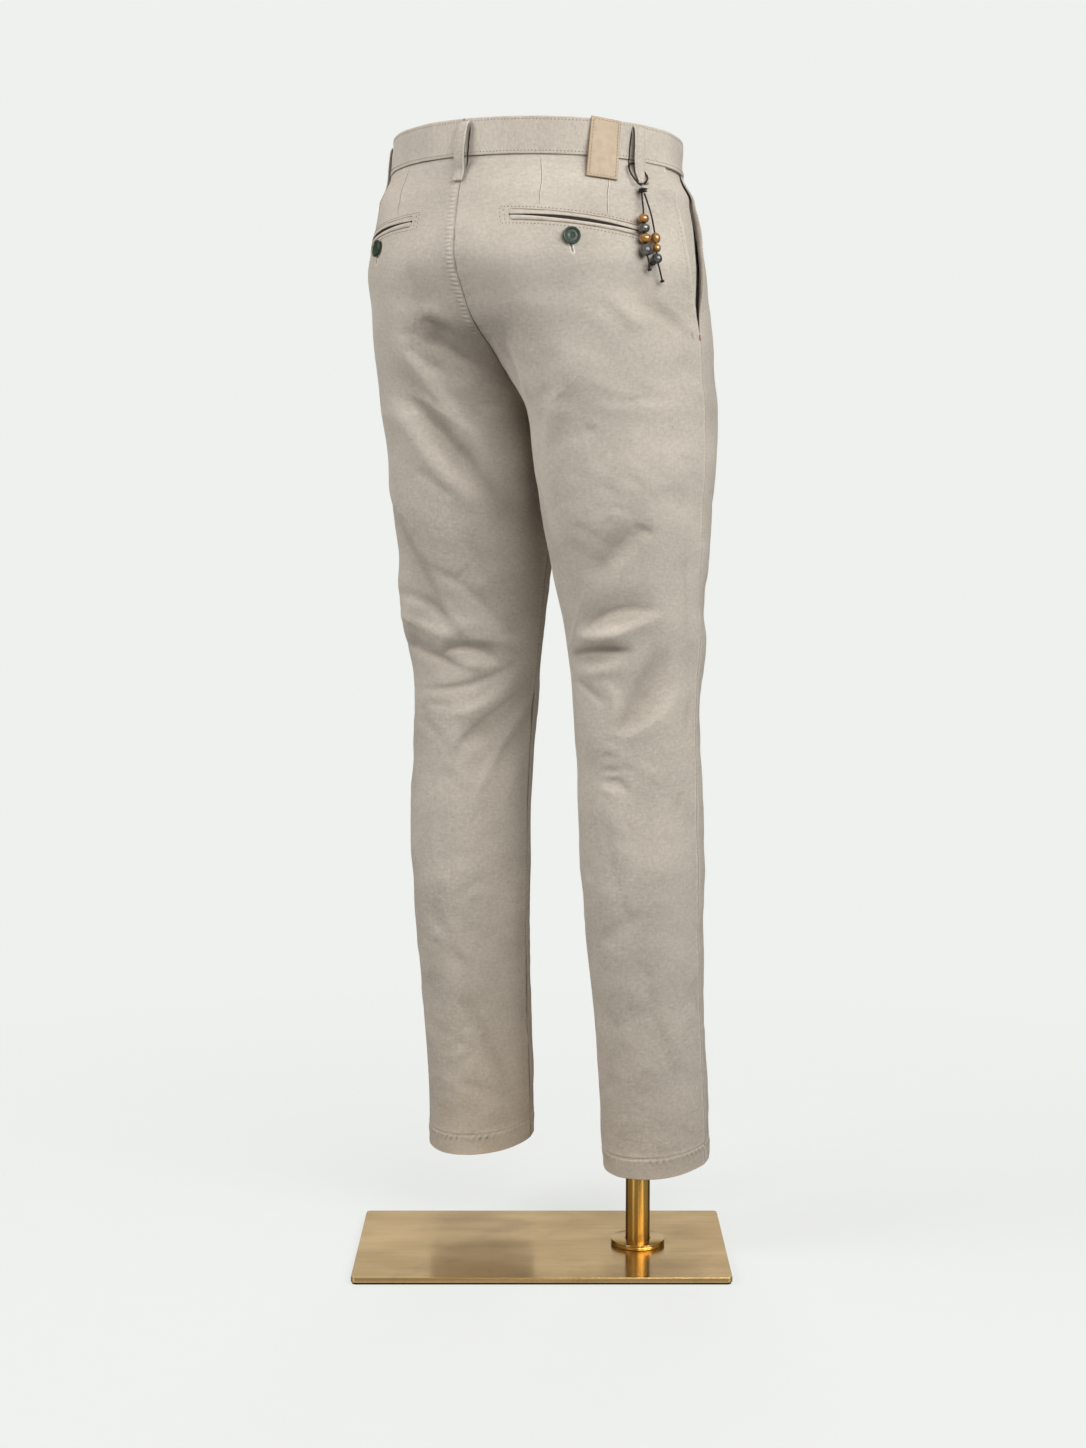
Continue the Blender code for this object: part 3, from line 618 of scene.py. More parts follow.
    @staticmethod
    def spline(points: list[Vector] | Array, steps: int) -> Array:
        """A Catmull-Rom curve through the points, with that many steps a span.

        Args:
            points: what the curve passes through.
            steps: how many spans lie between two of them.

        Returns:
            The points of the curve.
        """
        knots = np.array([tuple(p) for p in points], float)
        knots = np.concatenate([2 * knots[:1] - knots[1:2], knots, 2 * knots[-1:] - knots[-2:-1]])
        t = np.linspace(0, 1, steps, endpoint=False)[:, None]
        route = []
        for a, b, c, d in zip(knots, knots[1:], knots[2:], knots[3:]):
            curve = 2 * b + (c - a) * t + (2 * a - 5 * b + 4 * c - d) * t**2
            route.append(0.5 * (curve + (3 * b - a - 3 * c + d) * t**3))
        return np.concatenate([*route, knots[-2:-1]])


class Graph:
    """A node tree under construction."""

    def __init__(self, tree: NodeTree) -> None:
        """Keeps the tree that nodes are added to."""
        self.tree = tree

    def add(self, kind: str, settings: dict | None = None, **inputs: object) -> Node:
        """Adds a node.

        Args:
            kind: the node's type without its ShaderNode prefix.
            settings: the node's own properties.
            **inputs: values or output sockets by socket name, with _ for a space.

        Returns:
            The node.
        """
        node = self.tree.nodes.new(kind if kind.startswith("Node") else "ShaderNode" + kind)
        for key, value in (settings or {}).items():
            setattr(node, key, value)
        return self.feed(node, **inputs)

    def feed(self, node: Node, **inputs: object) -> Node:
        """Sets or links sockets of a node by name, or by place as in i0."""
        for key, value in inputs.items():
            name = key.replace("_", " ")
            socket = node.inputs[int(name[1:])] if name[1:].isdigit() else node.inputs[name]
            if isinstance(value, Socket):
                self.tree.links.new(value, socket)
            else:
                socket.default_value = value
        return node

    def math(self, operation: str, a: object, b: object = 0.0) -> Socket:
        """The result of one sum on two numbers or sockets."""
        return self.add("Math", {"operation": operation}, i0=a, i1=b).outputs[0]

    def total(self, *parts: tuple[object, float]) -> Socket:
        """The sum of values, each times its own share."""
        result = None
        for value, share in parts:
            scaled = value if share == 1 else self.math("MULTIPLY", value, share)
            result = scaled if result is None else self.math("ADD", result, scaled)
        return result

    def between(self, value: object, low: float, high: float, a: float, b: float) -> Socket:
        """A value moved from the range low to high onto a to b, held at both ends."""
        ends = {"From_Min": low, "From_Max": high, "To_Min": a, "To_Max": b}
        return self.add("MapRange", {"clamp": True}, Value=value, **ends).outputs[0]

    def mix(self, factor: object, a: object, b: object) -> Socket:
        """Two colours mixed by a factor."""
        a, b = (c if isinstance(c, Socket) else (*c, 1.0) for c in (a, b))
        return self.add("Mix", {"data_type": "RGBA"}, i0=factor, i6=a, i7=b).outputs[2]

    def stretch(self, vector: object, scale: Triple, turn: float = 0.0) -> Socket:
        """A coordinate scaled, and turned about Z in degrees."""
        turned = (0.0, 0.0, radians(turn))
        return self.add("Mapping", {}, Vector=vector, Scale=scale, Rotation=turned).outputs[0]

    def noise(
        self, vector: object, scale: float, detail: float = 3.0, rough: float = 0.55
    ) -> Socket:
        """A soft noise value."""
        numbers = {"Scale": scale, "Detail": detail, "Roughness": rough}
        return self.add("TexNoise", {}, Vector=vector, **numbers).outputs[0]

    def place(self) -> Socket:
        """The point's own coordinate on its piece."""
        return self.add("TexCoord").outputs["Object"]

    def number(self, name: str) -> Socket:
        """A number stored on the mesh."""
        return self.add("Attribute", {"attribute_name": name}).outputs["Fac"]


class Effect:
    """A node group with named inputs and outputs, built once and placed in many finishes."""

    def __init__(self, name: str, inputs: dict[str, object], outputs: tuple[str, ...]) -> None:
        """Makes the group's sockets: a number input for each number, else a vector.

        Args:
            name: the group's name.
            inputs: the sockets that it reads, with what they start from.
            outputs: the names of what it gives.
        """
        self.group = bpy.data.node_groups.new(name, "ShaderNodeTree")
        for key, value in inputs.items():
            kind = "NodeSocketFloat" if isinstance(value, float) else "NodeSocketVector"
            socket = self.group.interface.new_socket(key, in_out="INPUT", socket_type=kind)
            if isinstance(value, float):
                socket.default_value = value
        for key in outputs:
            self.group.interface.new_socket(key, in_out="OUTPUT", socket_type="NodeSocketFloat")
        self.graph = Graph(self.group)
        self.source = self.graph.add("NodeGroupInput").outputs
        self.result = self.graph.add("NodeGroupOutput").inputs

    def put(self, name: str, value: Socket) -> None:
        """Leads a value out of the group."""
        self.group.links.new(value, self.result[name])

    def place(self, graph: Graph, **inputs: object) -> Node:
        """Places the group in a material's tree."""
        return graph.feed(graph.add("Group", {"node_tree": self.group}), **inputs)


def weave_effect() -> Effect:
    """Twill: fine diagonal ribs, crossed by slubs and lint, and the crumple of washed cloth."""
    effect = Effect("twill_weave", {"Vector": None, "Ribs": 1500.0}, ("Height", "Shade", "Crumple"))
    g, vector = effect.graph, effect.source["Vector"]
    turned = g.stretch(vector, (1.0, 1.0, 1.0), 62.0)
    wave = {"Vector": turned, "Scale": effect.source["Ribs"], "Distortion": 1.6, "Detail": 1.0}
    ribs = g.add("TexWave", {"bands_direction": "X"}, **wave).outputs["Fac"]
    weft = g.noise(g.stretch(vector, (170.0, 430.0, 1.0), 24.0), 1.0, 3.0, 0.6)
    warp = g.noise(g.stretch(vector, (410.0, 180.0, 1.0), 8.0), 1.0, 2.0, 0.6)
    lint = g.noise(vector, 330.0, 3.0, 0.7)
    cloud = g.noise(g.stretch(vector, (9.0, 17.0, 1.0)), 1.0, 4.0, 0.62)
    slub = g.total((weft, 0.62), (warp, 0.38))
    effect.put("Height", g.total((ribs, 0.30), (slub, 1), (lint, 0.35)))
    effect.put("Shade", g.total((slub, 0.44), (lint, 0.22), (cloud, 0.34)))
    soft = g.noise(g.stretch(vector, (38.0, 52.0, 1.0), 22.0), 1.0, 3.0, 0.5)
    bent = g.stretch(vector, (80.0, 120.0, 1.0), -24.0)
    ridged = {"noise_type": "RIDGED_MULTIFRACTAL"}
    sharp = g.add("TexNoise", ridged, Vector=bent, Scale=1.0, Detail=2.0).outputs[0]
    patchy = g.between(g.noise(vector, 13.0, 2.0), 0.38, 0.62, 0.3, 1.0)
    effect.put("Crumple", g.math("MULTIPLY", g.total((soft, 7.5), (sharp, 1.1)), patchy))
    return effect


def grain_effect() -> Effect:
    """Fine parallel scratches along X, as a brush leaves them."""
    effect = Effect("brushing", {"Vector": None, "Fineness": 1.0}, ("Height", "Shade"))
    g, vector = effect.graph, effect.source["Vector"]
    long = g.noise(g.stretch(vector, (4.0, 900.0, 900.0)), 1.0, 2.0, 0.6)
    short = g.noise(g.stretch(vector, (38.0, 2600.0, 2600.0)), 1.0, 2.0, 0.6)
    cloud = g.noise(g.stretch(vector, (9.0, 22.0, 22.0)), 1.0, 3.0, 0.5)
    lines = g.total((long, 0.6), (short, 0.4))
    effect.put("Height", g.math("MULTIPLY", lines, effect.source["Fineness"]))
    effect.put("Shade", g.total((lines, 0.5), (cloud, 0.5)))
    return effect


@dataclass(frozen=True)
class Finish:
    """What every finish has: its name, main colour and gloss."""

    name: str
    colour: Triple
    roughness: float = 0.8

    def start(self) -> tuple[Material, Graph, Node]:
        """A new material with its tree and its shader."""
        material = bpy.data.materials.new(self.name)
        material.use_nodes = True
        material.diffuse_color = (*self.colour, 1.0)
        graph, shader = Graph(material.node_tree), material.node_tree.nodes["Principled BSDF"]
        return material, graph, graph.feed(shader, Roughness=self.roughness)

    @staticmethod
    def bump(graph: Graph, shader: Node, height: object, depth: float) -> None:
        """Leads a height into the shader's normal, depth in metres."""
        node = graph.add("Bump", {}, Height=height, Distance=depth, Strength=1.0)
        graph.feed(shader, Normal=node.outputs[0])

    def shaded(self, amount: float) -> Triple:
        """The colour multiplied by an amount."""
        return tuple(min(1.0, c * amount) for c in self.colour)


@dataclass(frozen=True)
class TwillFinish(Finish):
    """Washed cotton twill, with painted shade in its troughs and seams, and pale edges and ridges
    that are partly wear and partly painted highlight.
    """

    # the colour of the painted shade in creases, seam lines and recesses
    groove: Triple = (0.16, 0.115, 0.075)
    depth: float = 0.00030

    def make(self, weave: Effect) -> Material:
        """The material. Reads the weave's map and the numbers groove, worn, inside and pull."""
        material, g, shader = self.start()
        place = g.add("UVMap", {"uv_map": "Weave"}).outputs[0]
        cloth = weave.place(g, Vector=place)
        shade = g.between(cloth.outputs["Shade"], 0.38, 0.62, 0.0, 1.0)
        colour = g.mix(shade, self.shaded(0.80), self.shaded(1.15))
        uneven = g.between(g.noise(place, 260.0, 2.0), 0.35, 0.65, 0.25, 1.0)
        # groove mixes in painted shade; worn pales worn edges and paints highlights; inside darkens
        # the cloth's wrong side, partly as painted shade
        for name, share, tone in (
            ("worn", uneven, self.shaded(1.32)),
            ("groove", 0.9, self.groove),
            ("inside", 0.55, self.shaded(0.62)),
        ):
            colour = g.mix(g.math("MULTIPLY", g.number(name), share), colour, tone)
        rough = g.between(cloth.outputs["Height"], 0.3, 0.9, 0.94, self.roughness)
        g.feed(shader, Base_Color=colour, Roughness=rough, Specular_IOR_Level=0.22)
        g.feed(shader, Sheen_Weight=0.12, Sheen_Roughness=0.55)
        numbers = {"Scale": 88.0, "Distortion": 1.4, "Detail": 1.0}
        wave = g.add("TexWave", {"bands_direction": "Y"}, Vector=place, **numbers)
        pucker = g.math("MULTIPLY", wave.outputs["Fac"], g.number("pull"))
        heights = (cloth.outputs["Height"], 1), (cloth.outputs["Crumple"], 1), (pucker, 1.6)
        self.bump(g, shader, g.total(*heights), self.depth)
        return material


@dataclass(frozen=True)
class ThreadFinish(Finish):
    """Spun thread, uneven along its length."""

    def make(self) -> Material:
        """The material."""
        material, g, shader = self.start()
        tone = g.between(g.noise(g.place(), 900.0, 2.0), 0.3, 0.7, 0.0, 1.0)
        colour = g.mix(tone, self.shaded(0.78), self.shaded(1.15))
        g.feed(shader, Base_Color=colour, Specular_IOR_Level=0.3)
        self.bump(g, shader, g.noise(g.place(), 2600.0, 1.0), 0.00008)
        return material


@dataclass(frozen=True)
class BrassFinish(Finish):
    """Brass brushed one way, with faint tarnish."""

    tarnish: Triple = (0.42, 0.28, 0.12)
    turn: float = 0.0
    upright: bool = False
    bumps: float = 0.00001

    def make(self, grain: Effect) -> Material:
        """The material. turn is the brushing's direction seen from above, in degrees."""
        material, g, shader = self.start()
        angle = radians(self.turn)
        turned = (0.0, radians(90.0) if self.upright else 0.0, -angle)
        node = g.add("Mapping", {}, Vector=g.place(), Rotation=turned)
        brushed = grain.place(g, Vector=node.outputs[0])
        shade = g.between(brushed.outputs["Shade"], 0.36, 0.64, 0.0, 1.0)
        colour = g.mix(shade, self.shaded(0.86), self.shaded(1.08))
        stain = g.between(g.noise(g.place(), 26.0, 4.0, 0.6), 0.52, 0.78, 0.0, 0.45)
        high, low = self.roughness * 1.35, self.roughness * 0.8
        rough = g.between(brushed.outputs["Shade"], 0.36, 0.64, high, low)
        across = (0.0, 0.0, 1.0) if self.upright else (-sin(angle), cos(angle), 0.0)
        tangent = g.add("CombineXYZ", {}, i0=across[0], i1=across[1], i2=across[2]).outputs[0]
        g.feed(shader, Base_Color=g.mix(stain, colour, self.tarnish), Roughness=rough)
        g.feed(shader, Metallic=1.0, Anisotropic=0.92, Tangent=tangent)
        self.bump(g, shader, brushed.outputs["Height"], self.bumps)
        return material


@dataclass(frozen=True)
class SpeckledFinish(Finish):
    """A polished stone, glass or horn with streaks and specks of a second colour."""

    second: Triple = (0.1, 0.1, 0.1)
    scale: float = 300.0
    stretch: Triple = (1.0, 1.0, 1.0)
    low: float = 0.4
    high: float = 0.6
    metal: float = 0.0
    coat: float = 0.0
    bumps: float = 0.00005

    def make(self) -> Material:
        """The material."""
        material, g, shader = self.start()
        place = g.stretch(g.place(), self.stretch)
        streak = g.noise(place, self.scale, 4.0, 0.65)
        colour = g.mix(g.between(streak, self.low, self.high, 0.0, 1.0), self.colour, self.second)
        pits = g.between(g.noise(place, self.scale * 4.0, 2.0), 0.60, 0.72, 0.0, 0.6)
        rough = g.between(streak, 0.3, 0.7, self.roughness * 0.8, self.roughness * 1.3)
        g.feed(shader, Base_Color=g.mix(pits, colour, self.shaded(0.35)), Roughness=rough)
        g.feed(shader, Metallic=self.metal, Coat_Weight=self.coat, Coat_Roughness=0.12)
        self.bump(g, shader, streak, self.bumps)
        return material


@dataclass(frozen=True)
class LeatherFinish(Finish):
    """Tanned leather: pebbled grain, darker towards its cut edges."""

    edge: Triple = (0.30, 0.20, 0.11)

    def make(self) -> Material:
        """The material. Reads the number groove on the cut edges."""
        material, g, shader = self.start()
        cells = g.add("TexVoronoi", {}, Vector=g.place(), Scale=900.0).outputs["Distance"]
        cloud = g.noise(g.place(), 120.0, 4.0, 0.6)
        tone = g.between(cloud, 0.35, 0.65, 0.0, 1.0)
        colour = g.mix(tone, self.shaded(0.90), self.shaded(1.08))
        colour = g.mix(g.number("groove"), colour, self.edge)
        rough = g.between(cloud, 0.3, 0.7, self.roughness, self.roughness * 1.2)
        g.feed(shader, Base_Color=colour, Roughness=rough)
        self.bump(g, shader, g.total((cells, 0.5), (cloud, 0.5)), 0.00018)
        return material


class Finishes:
    """Every finish of the object, made once."""

    def __init__(self) -> None:
        """Makes the shared effects and the materials."""
        weave, grain = weave_effect(), grain_effect()
        thread, stone = ThreadFinish, SpeckledFinish
        self.twill = TwillFinish("stone_twill", (0.599, 0.558, 0.496), 0.80).make(weave)
        self.thread = thread("seam_thread", (0.50, 0.43, 0.345), 0.75).make()
        self.pale_thread = thread("pale_thread", (0.74, 0.70, 0.63), 0.75).make()
        self.white_thread = thread("buttonhole_thread", (0.86, 0.83, 0.77), 0.7).make()
        # a thread darkened as painted shade where stitches sink into the cloth, partly the thread's
        # own colour
        self.shaded_thread = thread("thread_in_shade", (0.23, 0.18, 0.13), 0.85).make()
        self.seam_shade = thread("seam_shade", (0.30, 0.235, 0.17), 0.85).make()
        self.leather_thread = thread("patch_thread", (0.24, 0.17, 0.105), 0.75).make()
        self.pink_thread = thread("pink_thread", (0.66, 0.40, 0.34), 0.8).make()
        self.red_thread = thread("red_bar_tack", (0.40, 0.03, 0.035), 0.7).make()
        self.black_thread = thread("black_bar_tack", (0.02, 0.018, 0.016), 0.8).make()
        # a near-black finish for strips that stand for painted shadow in openings and gaps
        self.shadow = thread("pocket_shadow", (0.035, 0.026, 0.02), 0.95).make()
        self.cord = thread("waxed_cord", (0.016, 0.012, 0.010), 0.65).make()
        self.leather = LeatherFinish("tan_leather", (0.452, 0.368, 0.272), 0.62).make()
        horn = (0.014, 0.028, 0.015), 0.48, (0.027, 0.046, 0.026), 260.0
        self.button = stone("green_horn", *horn, coat=0.08).make()
        eye = (0.36, 0.170, 0.022), 0.12, (0.11, 0.042, 0.006), 95.0, (1.0, 1.0, 3.2), 0.46, 0.70
        self.gold = stone("tiger_eye", *eye, metal=0.45, coat=1.0, bumps=0.000004).make()
        ore = (0.150, 0.150, 0.148), 0.24, (0.030, 0.030, 0.032), 330.0
        self.grey = stone("hematite", *ore, metal=0.5, coat=0.6, bumps=0.00003).make()
        turn = degrees(Stand.turn)
        self.plate = BrassFinish("brushed_plate", (0.70, 0.475, 0.20), 0.20, turn=turn).make(grain)
        self.post = BrassFinish("brushed_tube", (0.57, 0.35, 0.095), 0.19, upright=True).make(grain)
        pad = (0.018, 0.015, 0.013), 0.75, (0.030, 0.026, 0.022), 300.0
        self.rubber = stone("base_rubber", *pad).make()


# Each row has the numbers of a Crease in its own order: ends, bow, width, depth and lean.
CREASE_ROWS: dict[Leg, tuple[tuple[float, ...], ...]] = {
    Leg.LEFT: (
        # the seat and the back of the thigh
        (92, 896, 146, 850, -3, 13, -5), (78, 892, 135, 775, -4, 12, 4),
        (84, 862, 130, 764, -3, 11, -3.5), (72, 826, 123, 737, -3, 13, 3.5),
        (104, 820, 152, 724, -6, 12, -3.5), (56, 728, 112, 600, -6, 16, -2.5),
        # behind the knee
        (96, 586, 143, 583, 8, 9, -3), (40, 592, 106, 569, 9, 11, -3.5),
        (92, 606, 150, 604, 6, 11, 3), (182, 556, 118, 500, 4, 13, -3.5),
        (198, 538, 146, 480, 4, 13, -3), (24, 650, 58, 606, 0, 38, 5),
        # the front of the rise and the front of the knees
        (-48, 880, -104, 838, -8, 15, -4.5), (-62, 846, -118, 806, -6, 14, -3.5),
        (-30, 536, -120, 548, 8, 15, -3.5),
        # finer creases on the seat and thigh
        (90, 916, 108, 892, 0, 4, 1.7), (91, 904, 106, 886, 0, 3.2, -1.7),
        (98, 884, 146, 849, -3, 4.5, -3.1, 0.3), (78, 886, 142, 753, 4, 7, 2.9, -0.2),
        (84, 880, 106, 857, 0, 4, -2), (110, 849, 139, 842, 0, 12, 1.4),
        (131, 829, 145, 827, 0, 2.4, -1.8), (125, 818, 135, 817, 0, 2.4, -1.4),
        (142, 847, 144, 833, 0, 2.4, -1.4), (134, 814, 146, 823, 0, 2.8, 1.3),
        (90, 827, 130, 764, 2, 5, -2.5, 0.3), (78, 821, 122, 737, 0, 8, 2.2),
        (90, 764, 113, 739, 1, 4.5, -1.8), (112, 870, 150, 842, -2, 4, -1.8, 0.3),
        (122, 866, 152, 828, 2, 5, 1.6), (92, 846, 128, 806, -2, 3.6, -1.7, 0.3),
        (96, 838, 132, 798, -1, 5, 1.5), (112, 792, 140, 742, -2, 4, -1.5, 0.3),
        (60, 722, 96, 640, -3, 6, -1.8, 0.4), (48, 752, 84, 680, -3, 8, 1.6),
        (122, 700, 140, 640, 2, 7, -1.5), (20, 780, 58, 700, -3, 9, -1),
        # the knee, from its upper folds down
        (94, 667, 142, 618, 6, 4.5, -1.6), (91, 663, 112, 608, -2, 6, 1.6),
        (40, 642, 115, 598, 16, 6, -1.7), (40, 622, 108, 598, 2, 5, 1.8),
        (114, 599, 160, 598, 0, 5.5, 2.1), (38, 591, 114, 569, 4, 3.2, -2.1, 0.2),
        (98, 587, 140, 583, 4, 2.6, -2.2, 0.3), (147, 589, 168, 583, 0, 3, -1.6),
        (140, 601, 164, 609, 0, 2.6, -1.4), (116, 573, 144, 572, 0, 5, 1.7),
        (164, 577, 80, 549, 7, 3.4, -2.2, 0.2), (80, 534, 103, 534, 0, 3, -1.1),
        (164, 567, 104, 523, 9, 6, 1.8), (168, 541, 110, 489, -5, 5, -2.3, 0.2),
        (178, 532, 132, 442, -5, 7, 1.7), (166, 497, 137, 446, -2, 5, -1.6),
        (180, 473, 156, 422, -7, 6, 1.4), (66, 520, 108, 486, 2, 6, -1),
        (96, 470, 140, 430, 2, 7, -0.9), (72, 972, 92, 934, 2, 7, 0.9),
        (78, 948, 90, 912, -2, 4, -0.9), (60, 936, 84, 900, -2, 7, 0.9),
        (84, 330, 124, 250, 3, 9, -1), (112, 240, 156, 140, 2, 11, -2.2),
        # ripples towards the hems
        (70, 300, 130, 268, 3, 7, -0.7), (52, 214, 120, 190, 3, 7, -0.7),
        (100, 154, 148, 138, 1, 5, -0.8),
        # the front: the rise, the thighs and the knees
        (-40, 902, -84, 872, -4, 6, -1.8, 0.3), (-56, 862, -112, 826, -4, 5, -1.8, 0.3),
        (-70, 800, -110, 752, -3, 6, -1.4), (-40, 700, -90, 662, -3, 9, -1.3),
        (-36, 560, -100, 566, 4, 4.6, -1.5, 0.3), (-50, 512, -118, 520, 3, 5, -1.2),
        (-140, 600, -100, 570, 3, 6, -1.4), (-60, 380, -112, 352, 2, 8, -0.8),
        (-50, 210, -108, 188, 2, 8, -0.7),
    ),
    Leg.RIGHT: (
        # the seat and the back of the thigh
        (101, 902, 125, 840, 3, 10, -1.6), (34, 940, 11, 897, 4, 12, -2.5),
        (62, 868, 128, 836, -6, 26, 4), (150, 800, 152, 752, 0, 22, 3.5),
        (42, 710, 83, 665, 4, 14, -3), (44, 642, 99, 615, 3, 12, -2.5),
        # behind the knee
        (130, 585, 64, 593, 5, 10, -3), (112, 607, 64, 609, 3, 10, 2.5),
        (33, 594, 66, 522, -3, 13, -3), (-48, 650, -30, 610, 0, 34, -3.5),
        # the front of the rise and the front of the knees
        (-44, 884, -108, 842, -8, 15, -5), (-58, 850, -120, 800, -6, 14, -3),
        (-26, 528, -128, 540, 6, 15, -3.5), (-60, 500, -130, 508, 5, 13, -2.5),
        # finer creases on the seat and thigh
        (117, 881, 115, 863, 0, 3, -1.6), (116, 862, 124, 841, 0, 3, -1.6),
        (109, 878, 118, 830, 1, 3.6, 1.4), (97, 824, 110, 681, 19, 8, 2),
        (84, 874, 100, 826, 0, 6, -1.7), (49, 917, 42, 883, -2, 6, -1.1),
        (45, 917, 35, 894, 0, 6, 1), (32, 917, 4, 880, -2, 5, -1.6), (22, 922, 1, 892, 1, 5, 1.4),
        (79, 797, 72, 802, 0, 2.4, -1.1), (76, 786, 72, 783, 0, 2.4, -0.9),
        (50, 827, 38, 829, 0, 2.6, -1.1), (52, 713, 37, 702, 0, 2.6, -1.1),
        (44, 709, 80, 668, 2, 5, -1.5, 0.3), (50, 690, 74, 652, 2, 4, 0.9),
        (10, 698, 12, 603, 0, 5, -1.4),
        # the knee, from its upper folds down
        (92, 656, 126, 599, -5, 3, 1.3), (97, 616, 42, 633, -7, 3.4, -1.6),
        (104, 606, 39, 626, 5, 5.5, 2.2), (124, 587, 67, 594, -2, 3, -2.2, 0.3),
        (116, 576, 71, 582, 6, 6, 1.7), (122, 563, 89, 544, -2, 4, -1.8),
        (84, 561, 80, 514, -9, 6, 1.6), (45, 586, 76, 514, -1, 7, -2.3, -0.2),
        (80, 513, 18, 557, 14, 6, 1.5), (92, 493, 80, 492, 0, 2.6, -1.1),
        (92, 479, 72, 479, 0, 2.6, -1.3), (89, 468, 68, 459, -6, 3, -1.4),
        (94, 464, 76, 454, 0, 4, 1), (6, 544, 6, 516, 0, 4, -1.4), (60, 300, 30, 170, 3, 10, -1.1),
        (92, 420, 70, 330, 2, 8, -0.9), (16, 470, 24, 430, 1, 4, -0.9),
        # ripples towards the hems
        (58, 340, 104, 312, 2, 7, -0.7), (40, 250, 96, 226, 2, 7, -0.6),
        (96, 176, 140, 150, 2, 6, -0.7),
        # the front: the rise, the thighs and the knees
        (-42, 900, -86, 868, -4, 6, -1.6, 0.3), (-50, 866, -108, 822, -4, 5, -1.8, 0.3),
        (-68, 806, -108, 748, -3, 6, -1.4), (-44, 690, -92, 640, -3, 9, -1.4),
        (-30, 548, -104, 560, 4, 4.6, -1.5, 0.3), (-44, 506, -120, 516, 3, 5, -1.3),
        (-142, 596, -104, 572, 3, 6, -1.4), (-56, 330, -110, 300, 2, 8, -0.8),
        (-60, 186, -118, 160, 2, 8, -0.7),
    ),
}
CREASES = tuple(Crease(leg, *row) for leg, rows in CREASE_ROWS.items() for row in rows)


